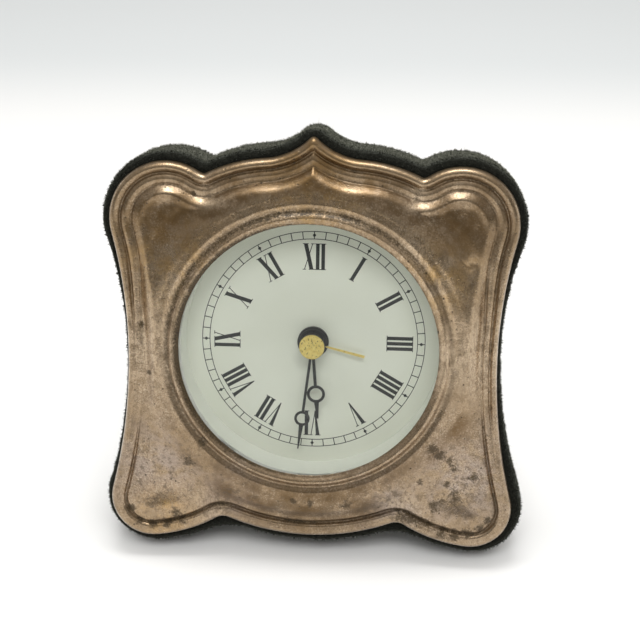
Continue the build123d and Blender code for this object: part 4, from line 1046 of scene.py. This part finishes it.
def makeNumerals():
    shapes = []
    low, high = dialFace, dialFace + ink["thickness"]
    for hour, word in enumerate(numerals["words"]):
        turn = 2 * math.pi * hour / ink["hours"]
        cosine, sine = math.cos(turn), math.sin(turn)
        pen = -sum(letters[letter]["step"] for letter in word) / 2
        for letter in word:
            for stroke in strokesOf(letters[letter]):
                spots = [(pen + x, numerals["foot"] + y) for x, y in stroke]
                corners = [(x * cosine + y * sine, y * cosine - x * sine) for x, y in spots]
                shapes.append(prism(corners, low, high))
            pen += letters[letter]["step"]
    printed("dialNumerals", shapes)
    half = ink["trackLine"] / 2
    circles = (ink["trackInner"], ink["trackOuter"])
    printed("minuteTrack", [annulus(radius - half, radius + half, low, high) for radius in circles])
    print("numerals:", len(shapes), "strokes")


def markTree():
    # flat marks of a given number of sides, stood evenly round a circle
    sizes = {"Count": "Int", "Radius": "Float", "Wide": "Float", "High": "Float", "Thickness": "Float",
             "Twist": "Float", "Ink": "Material"}
    tree, wire, given = startTree("dialMarks", sizes)
    ring = wire.add("GeometryNodeMeshCircle", {}, {"Vertices": given["Count"], "Radius": given["Radius"]})
    mark = wire.add("GeometryNodeMeshCylinder", {}, {
        "Vertices": 4, "Side Segments": 1, "Radius": math.sqrt(0.5), "Depth": 1.0})
    twist = wire.add("ShaderNodeCombineXYZ", {}, {2: given["Twist"]})
    mark = wire.add("GeometryNodeTransform", {}, {"Geometry": mark, "Rotation": twist})
    size = wire.add("ShaderNodeCombineXYZ", {}, {0: given["Wide"], 1: given["High"], 2: given["Thickness"]})
    index = wire.add("GeometryNodeInputIndex")
    turn = index * 2.0 * math.pi
    turn = wire.sum("DIVIDE", turn, given["Count"]) - math.pi / 2
    turn = wire.add("ShaderNodeCombineXYZ", {}, {2: turn})
    marksOn = wire.add("GeometryNodeInstanceOnPoints", {}, {
        "Points": ring, "Instance": mark, "Rotation": turn, "Scale": size})
    closeTree(wire, marksOn, given["Ink"])
    return tree


def makeMarks():
    tree = markTree()
    inner, outer = ink["trackInner"], ink["trackOuter"]
    wide, high = (ink[key] / math.sqrt(2) for key in ("diamondWide", "diamondHigh"))
    blank = bpy.data.meshes.new("blank")
    rows = {
        "minuteTicks": (ink["ticks"], ink["tickWidth"], outer - inner, math.pi / 4, 1.0),
        "hourDiamonds": (ink["hours"], wide, high, 0.0, ink["diamondProud"]),
    }
    for name, (count, wide, high, twist, proud) in rows.items():
        mesh = grown(name, tree, blank, {
            "Count": count, "Radius": (inner + outer) / 2, "Wide": wide, "High": high, "Twist": twist,
            "Thickness": ink["thickness"] * proud, "Ink": finishes["ink"]})
        mesh.transform(raised(dialFace + ink["thickness"] * proud / 2))
        piece(name, mesh, "clock", "black_metal")
    print("marks:", ink["ticks"], "ticks and", ink["hours"], "diamonds")


makeNumerals()
makeMarks()


# Hands: hub, slim stem, open ring and a tapered point

handMake = {
    "thickness": 0.25, "bevel": 0.05, "hubWall": 0.8, "hubSteps": 40, "ringSteps": 24, "holeSteps": 48,
}
hands = {
    "minuteHand": {"node": "minute_hand", "body": "minute_set", "slot": "black_metal", "angle": 187.0,
                   "lift": 4.4, "hub": 3.0, "hubDepth": 1.0, "stem": 0.62, "ringAt": 20.6, "ring": 2.05,
                   "hole": 1.46, "spear": 1.1, "tip": 0.22, "length": 29.3},
    "hourHand": {"node": "hour_hand", "body": "hour_set", "slot": "black_metal", "angle": 175.5,
                 "lift": 3.0, "hub": 3.0, "hubDepth": 1.0, "stem": 0.72, "ringAt": 13.9, "ring": 2.4,
                 "hole": 1.74, "spear": 1.2, "tip": 0.35, "length": 20.8},
}
alarm = {
    "angle": 104.0, "lift": 1.6, "hub": 3.8, "bore": 2.3, "hubBevel": 0.04, "hubSteps": 72, "overlap": 0.3,
    "root": 0.42, "tip": 0.66, "length": 14.3,
}


def handOutline(size):
    # round the hub, up the ring's right side, over the tip and down the ring's left side
    def lean(width, radius):
        return math.degrees(math.asin(width / 2 / radius))

    gap = lean(size["stem"], size["hub"])
    hub = polar((0, 0), size["hub"], np.linspace(90 + gap, 450 - gap, handMake["hubSteps"]))
    low, high = lean(size["stem"], size["ring"]), lean(size["spear"], size["ring"])
    middle, steps = (0, size["ringAt"]), handMake["ringSteps"]
    right = polar(middle, size["ring"], np.linspace(-90 + low, 90 - high, steps))
    left = polar(middle, size["ring"], np.linspace(90 + high, 270 - low, steps))
    tip = np.array([(size["tip"] / 2, size["length"]), (-size["tip"] / 2, size["length"])])
    return np.concatenate([hub, right, tip, left])


def holeLoop(middle, radius):
    return polar(middle, radius, np.linspace(360, 0, handMake["holeSteps"], endpoint=False))


def flatMesh(name, loops, thickness, bevel, material):
    # filled flat curve, made a mesh, in millimetres
    curve = bpy.data.curves.new(name, "CURVE")
    curve.dimensions = "2D"
    curve.fill_mode = "BOTH"
    curve.extrude = thickness / 2 - bevel
    curve.bevel_depth = bevel
    curve.bevel_resolution = 2
    for loop in loops:
        spline = curve.splines.new("POLY")
        spline.points.add(len(loop) - 1)
        for point, (x, y) in zip(spline.points, loop):
            point.co = (x, y, 0, 1)
        spline.use_cyclic_u = True
    mesh = bakedMesh(addObject(name, curve))
    mesh.materials.clear()
    mesh.materials.append(material)
    return mesh


def addRing(mesh, inner, outer, low, high):
    # short tube joined to a mesh
    build = bmesh.new()
    build.from_mesh(mesh)
    points, faces = annulus(inner, outer, low, high, 64)
    corners = [build.verts.new(point) for point in points]
    for face in faces:
        build.faces.new([corners[corner] for corner in face])
    bmesh.ops.remove_doubles(build, verts=build.verts, dist=0.0005)
    bmesh.ops.recalc_face_normals(build, faces=build.faces)
    build.to_mesh(mesh)
    build.free()


def makeHands():
    thickness, bevel = handMake["thickness"], handMake["bevel"]
    for name, size in hands.items():
        loops = [handOutline(size), holeLoop((0, size["ringAt"]), size["hole"])]
        mesh = flatMesh(name, loops, thickness, bevel, finishes[size["slot"]])
        back = -thickness / 2
        addRing(mesh, size["hub"] - handMake["hubWall"], size["hub"], back - size["hubDepth"], back)
        turn = Matrix.Rotation(-math.radians(size["angle"]), 4, "Z")
        mesh.transform(raised(dialFace + size["lift"] + thickness / 2) @ turn)
        piece(name, mesh, size["body"], size["slot"], size["node"])
    print("hands:", len(hands))


def makeAlarmHand():
    thickness, bevel = handMake["thickness"], handMake["bevel"]
    root, tip, foot = alarm["root"] / 2, alarm["tip"] / 2, alarm["hub"] - alarm["overlap"]
    corners = [(-root, foot), (root, foot), (tip, alarm["length"]), (-tip, alarm["length"])]
    place = raised(dialFace + alarm["lift"] + thickness / 2)
    turn = Matrix.Rotation(-math.radians(alarm["angle"]), 4, "Z")
    mesh = flatMesh("alarmBaton", [corners], thickness, bevel, finishes["gilt"])
    mesh.transform(place @ turn)
    piece("alarmBaton", mesh, "alarm_set", "gilt", "alarm_hand")
    rim = polar((0, 0), alarm["hub"], np.linspace(0, 360, alarm["hubSteps"], endpoint=False))
    loops = [rim, holeLoop((0, 0), alarm["bore"])]
    mesh = flatMesh("alarmHub", loops, thickness, alarm["hubBevel"], finishes["black_metal"])
    mesh.transform(place)
    piece("alarmHub", mesh, "alarm_set", "black_metal")


makeHands()
makeAlarmHand()


# Cap over the hands: a gilt disc on a black barrel

cap = {
    "radius": 3.35, "barrel": 3.1, "foot": -1.55, "rim": -0.62, "top": -0.35, "dome": 0.03,
    "bevel": (0.1, 0.08), "steps": 72, "sharpFrom": 35.0,
}


def turned(name, profile, steps, material):
    # closed solid of revolution about the dial's axis; the profile starts and ends on it
    points = [(0, 0, profile[0][1])]
    for radius, level in profile[1:-1]:
        points += circlePoints(radius, level, steps)
    points.append((0, 0, profile[-1][1]))
    last = len(points) - 1
    faces = [(0, 1 + (i + 1) % steps, 1 + i) for i in range(steps)]
    faces += [tuple(1 + corner for corner in face) for face in loopFaces(len(profile) - 2, steps)]
    faces += [(last, last - steps + i, last - steps + (i + 1) % steps) for i in range(steps)]
    mesh = meshFrom(name, onFace(*np.array(points).T), faces, material)
    mesh.set_sharp_from_angle(angle=math.radians(cap["sharpFrom"]))
    return mesh


def makeCap():
    radius, top, rim = cap["radius"], cap["top"], cap["rim"]
    inset, drop = cap["bevel"]
    disc = [(0, rim), (radius - inset, rim), (radius, rim + drop), (radius, top - drop),
            (radius - inset, top), (radius * 0.5, top + cap["dome"] * 0.75), (0, top + cap["dome"])]
    mesh = turned("capDisc", disc, cap["steps"], finishes["gilt"])
    piece("capDisc", mesh, "minute_set", "gilt", "centre_cap")
    barrel = [(0, cap["foot"]), (cap["barrel"], cap["foot"]), (cap["barrel"], rim), (0, rim)]
    mesh = turned("capBarrel", barrel, cap["steps"], finishes["black_metal"])
    piece("capBarrel", mesh, "minute_set", "black_metal")


makeCap()


# Strut: velvet drawn over the board's back and edges

strut = {
    "topHalf": 9.8, "bottomHalf": 14.67, "top": -2.2, "bottom": -95.7, "front": 1.2, "back": -2.6,
    "round": 1.3, "corner": 2.5, "footCorner": 1.5, "skin": 0.75, "crown": 0.15,
    "steps": 46, "cornerSteps": 9, "edgeRows": 4, "roundRows": 6, "backRows": 9,
    "spine": (0.93, -3.4), "spineReach": 0.985,
}


def strutLoop():
    # rounded trapezium, evenly stepped along each side and round each corner
    corners = np.array([(-strut["topHalf"], strut["top"]), (strut["topHalf"], strut["top"]),
                        (strut["bottomHalf"], strut["bottom"]), (-strut["bottomHalf"], strut["bottom"])])
    loop = []
    for i, corner in enumerate(corners):
        before = corners[i - 1] - corner
        after = corners[(i + 1) % 4] - corner
        before, after = before / np.hypot(*before), after / np.hypot(*after)
        rounding = strut["corner"] if i < 2 else strut["footCorner"]
        nextRounding = strut["corner"] if (i + 1) % 4 < 2 else strut["footCorner"]
        start, end = corner + before * rounding, corner + after * rounding
        for share in np.linspace(0, 1, strut["cornerSteps"]):
            loop.append((1 - share) ** 2 * start + 2 * share * (1 - share) * corner + share**2 * end)
        nextStart = corners[(i + 1) % 4] - after * nextRounding
        for share in np.linspace(0, 1, strut["steps"] + 2)[1:-1]:
            loop.append(end + (nextStart - end) * share)
    return np.array(loop)


def makeStrut():
    loop = strutLoop()
    inward = inwardOf(loop)
    rounding, back = strut["round"], strut["back"]
    quarter = np.linspace(0, math.pi / 2, strut["roundRows"])
    rows = [(0.0, level) for level in np.linspace(strut["front"], back + rounding, strut["edgeRows"])[:-1]]
    rows += [(rounding * (1 - math.cos(turn)), back + rounding * (1 - math.sin(turn))) for turn in quarter]
    shell = [onStrut(*(loop + inset * inward).T, level) for inset, level in rows]
    last = loop + rounding * inward
    share, drop = strut["spine"]
    spine = np.stack([np.zeros(len(loop)), last[:, 1] * share + drop], axis=-1)
    for share in np.linspace(0, 1, strut["backRows"] + 1)[1:]:
        line = last + (spine - last) * share * strut["spineReach"]
        shell.append(onStrut(*line.T, back - strut["crown"] * math.sin(share * math.pi / 2)))
    grid = np.array(shell)
    lift = -np.minimum(grid[..., 2], 0.0) / strutAxes[1][2]
    grid = grid + lift[..., None] * strutAxes[1]              # end cut flat on the table
    faces = loopFaces(len(shell), len(loop))
    final = (len(shell) - 1) * len(loop)
    faces.append(tuple(final + step for step in range(len(loop))))
    mesh = meshFrom("strutVelvet", grid.reshape(-1, 3), faces, finishes["velvet"])
    addSkin(piece("strutVelvet", mesh, "strut", "velvet", "strut_velvet"), strut["skin"])
    makeNap("strutNap", grid.reshape(-1, 3), len(loop), "strut", strutPile)


makeStrut()


# Screw and rivet heads: domed, slotted where a driver goes, each on its shank

heads = {
    "caseScrews": {"node": "case_screws", "body": "clock", "high": 0.7, "groove": 0.45, "seed": 3},
    "clipScrews": {"node": "clip_screws", "body": "clock", "high": 0.7, "groove": 0.55, "seed": 7},
    "leafScrews": {"node": "leaf_screws", "body": "clock", "high": 0.7, "groove": 0.5, "seed": 5},
    "strutRivets": {"node": "strut_rivets", "body": "strut", "high": 0.6, "groove": 0.0, "seed": 1},
}
headSteps = {
    "across": (-1.0, -0.92, -0.7, -0.4), "along": 11, "rimShare": 0.5, "slotFloor": 0.35, "shankSides": 14,
    "aboveSeat": 0.1, "belowSeat": 0.5,
}
slotOf = {part["node"]: part["material_slot"] for part in frame["record"]["subparts"]}


def headMesh(name, radius, shank, length, size, material):
    # strips across the head, doubled at the slot's walls, then a skirt down to the seat
    half, high = size["groove"] / 2, size["high"]
    left = [(share * radius, False) for share in headSteps["across"]]
    if half:
        left += [(-half, False), (-half, True)]
    strips = left + [(-place, sunk) for place, sunk in reversed(left)]
    count, points = headSteps["along"], []
    for place, sunk in strips:
        reach = math.sqrt(max(radius**2 - place**2, 0.0))
        for along in np.linspace(-reach, reach, count):
            crown = 1 - (place**2 + along**2) / radius**2
            dome = high * (headSteps["rimShare"] + (1 - headSteps["rimShare"]) * crown)
            points.append((place, along, high * headSteps["slotFloor"] if sunk else dome))
    build = bmesh.new()
    corners = [build.verts.new(point) for point in points]
    for strip in range(len(strips) - 1):
        for step in range(count - 1):
            here, there = strip * count + step, (strip + 1) * count + step
            build.faces.new([corners[i] for i in (here, there, there + 1, here + 1)])
    bmesh.ops.remove_doubles(build, verts=build.verts, dist=1e-5)
    rim = [side for side in build.edges if side.is_boundary]
    skirt = bmesh.ops.extrude_edge_only(build, edges=rim)["geom"]
    for corner in (item for item in skirt if isinstance(item, bmesh.types.BMVert)):
        corner.co.z = 0.0
    bmesh.ops.holes_fill(build, edges=[side for side in build.edges if side.is_boundary], sides=0)
    bmesh.ops.create_cone(
        build, cap_ends=True, segments=headSteps["shankSides"], radius1=shank, radius2=shank, depth=length,
        matrix=Matrix.Translation((0, 0, -length / 2)))
    bmesh.ops.recalc_face_normals(build, faces=build.faces)
    mesh = bpy.data.meshes.new(name)
    build.to_mesh(mesh)
    build.free()
    mesh.materials.append(material)
    return mesh


def headTree():
    tree, wire, given = startTree("screwHeads", {"Head": "Object", "Seed": "Int", "Finish": "Material"})
    shape = wire.add("GeometryNodeObjectInfo", {}, {"Object": given["Head"]}, "Geometry")
    limits = {2: 0.0, 3: math.pi, "Seed": given["Seed"]}
    spin = wire.add("FunctionNodeRandomValue", {"data_type": "FLOAT"}, limits, 1)
    turn = wire.add("ShaderNodeCombineXYZ", {}, {0: math.pi, 2: spin})
    placed = wire.add("GeometryNodeInstanceOnPoints", {}, {
        "Points": given["Geometry"], "Instance": shape, "Rotation": turn})
    closeTree(wire, placed, given["Finish"])
    return tree


def makeHeads():
    tree = headTree()
    for name, size in heads.items():
        node, body = size["node"], size["body"]
        centre, axes = (dialCentre, faceAxes) if body == "clock" else (hingeCentre, strutAxes)
        shells = shellsOf(node, centre, axes)
        middles = [(shell.min(0) + shell.max(0)) / 2 for shell in shells]
        seat = min(shell[:, 2].min() for shell in shells) + size["high"]
        levels = shells[0][:, 2]
        gaps = np.hypot(*(shells[0] - middles[0])[:, :2].T)
        radius = gaps[levels < seat - headSteps["aboveSeat"]].max()
        shank = gaps[levels > seat + headSteps["belowSeat"]].max()
        material = finishes[slotOf[node]]
        shape = headMesh(name + "Model", radius, shank, levels.max() - seat, size, material)
        model = addObject(name + "Model", shape)
        ground = meshFrom(name + "Ground", [(place[0], place[1], seat) for place in middles], [], material)
        mesh = grown(name, tree, ground, {"Head": model, "Seed": size["seed"], "Finish": material})
        bpy.data.objects.remove(model)
        mesh.transform(matrixOf(centre, axes))
        piece(name, mesh, body, slotOf[node], node)
        print(name + ":", len(shells), "heads of radius", round(float(radius), 2), "mm")


makeHeads()


# Stage: pale floor, soft lights and the camera at the photograph's place

stage = {
    "floorHalf": 4.0, "farFrom": (0.27, 0.42), "glowFrom": (0.62, 1.5),
    "lens": 67.5, "place": (21.025, 88.567, 303.70), "tilt": 14.893, "pan": 3.561, "roll": 0.748,
    "sensor": 36.0, "nearest": 0.01,
}
lights = {
    "frontTop": {"place": (0.08, -0.60, 0.85), "aim": (0.0, 0.0, 0.06), "size": (0.7, 0.4), "watts": 4.5,
                 "shines": False},
    "overhead": {"place": (0.0, 0.08, 0.75), "aim": (0.0, 0.0, 0.05), "size": (0.4, 0.25), "watts": 2.2,
                 "shines": True},
}
room = {
    "horizon": 1.1, "front": 0.14, "behind": 0.95, "walls": 0.5, "ceiling": 1.25,
    "frontFrom": (-0.2, 0.3), "lowFrom": (0.02, 0.09), "wallFrom": (0.2, 0.42), "ceilingFrom": (0.72, 0.95),
}


def makeFloor():
    half = stage["floorHalf"]
    material, wire, place = startFinish("palePaper")
    cloud = wire.noise(place, 6.0, 2.0)
    reach = wire.add("ShaderNodeVectorMath", {"operation": "LENGTH"}, {0: place}, 1)
    base = wire.layers((0.88, 0.88, 0.87), [
        (cloud, (0.86, 0.86, 0.855)),
        (wire.axis(place, 1).between(*stage["farFrom"]), (0.71, 0.735, 0.742)),
    ])
    glow = wire.layers((0.0, 0.0, 0.0), [(reach.between(*stage["glowFrom"]), (0.62, 0.62, 0.61))])
    closeFinish(wire, {
        "Base Color": base,
        "Roughness": 0.8,
        "Specular IOR Level": 0.2,
        "Emission Color": glow,
        "Emission Strength": 1.0,
    })
    points = [(-half, -half, 0), (half, -half, 0), (half, half, 0), (-half, half, 0)]
    floor = addObject("floor", meshFrom("floor", points, [(0, 1, 2, 3)], material, False))


def makeLights():
    for name, value in lights.items():
        lamp = bpy.data.lights.new(name, "AREA")
        lamp.shape = "RECTANGLE"
        lamp.size, lamp.size_y = value["size"]
        lamp.energy = value["watts"]
        obj = addObject(name, lamp)
        obj.location = value["place"]
        obj.visible_glossy = value["shines"]
        back = Vector(value["place"]) - Vector(value["aim"])
        obj.rotation_euler = back.to_track_quat("Z", "Y").to_euler()
    world = bpy.data.worlds.new("softRoom")
    world.use_nodes = True
    world.node_tree.nodes.clear()
    wire = Wire(world.node_tree)
    toward = wire.add("ShaderNodeTexCoord", out="Generated")
    height, ahead = wire.axis(toward, 2), wire.axis(toward, 1) * -1.0
    low = room["behind"] + (room["front"] - room["behind"]) * ahead.between(*room["frontFrom"])
    glow = room["horizon"] + (low - room["horizon"]) * height.between(*room["lowFrom"])
    glow = glow + (room["walls"] - low) * height.between(*room["wallFrom"])
    glow = glow + (room["ceiling"] - room["walls"]) * height.between(*room["ceilingFrom"])
    sky = wire.add("ShaderNodeBackground", {}, {"Color": colour(1.0, 0.985, 0.96), "Strength": glow})
    wire.add("ShaderNodeOutputWorld", {}, {"Surface": sky}, None)
    bpy.context.scene.world = world
    bpy.context.scene.view_settings.view_transform = "Standard"


def makeCamera():
    data = bpy.data.cameras.new("camera")
    data.lens = stage["lens"]
    data.sensor_width = stage["sensor"]
    data.clip_start = stage["nearest"]
    camera = addObject("camera", data)
    look = (Matrix.Rotation(math.radians(stage["roll"]), 3, "Z")
            @ Matrix.Rotation(math.radians(stage["tilt"]), 3, "X")
            @ Matrix.Rotation(math.radians(stage["pan"]), 3, "Y")
            @ Matrix(((1, 0, 0), (0, -1, 0), (0, 0, -1))))
    right, down, ahead = np.array(look) @ faceAxes
    turn = Matrix((right, -down, -ahead)).transposed().to_4x4()
    camera.matrix_world = Matrix.Translation(onFace(*stage["place"]).tolist()) @ turn
    bpy.context.scene.camera = camera


makeFloor()
makeLights()
makeCamera()
print("stage ready")
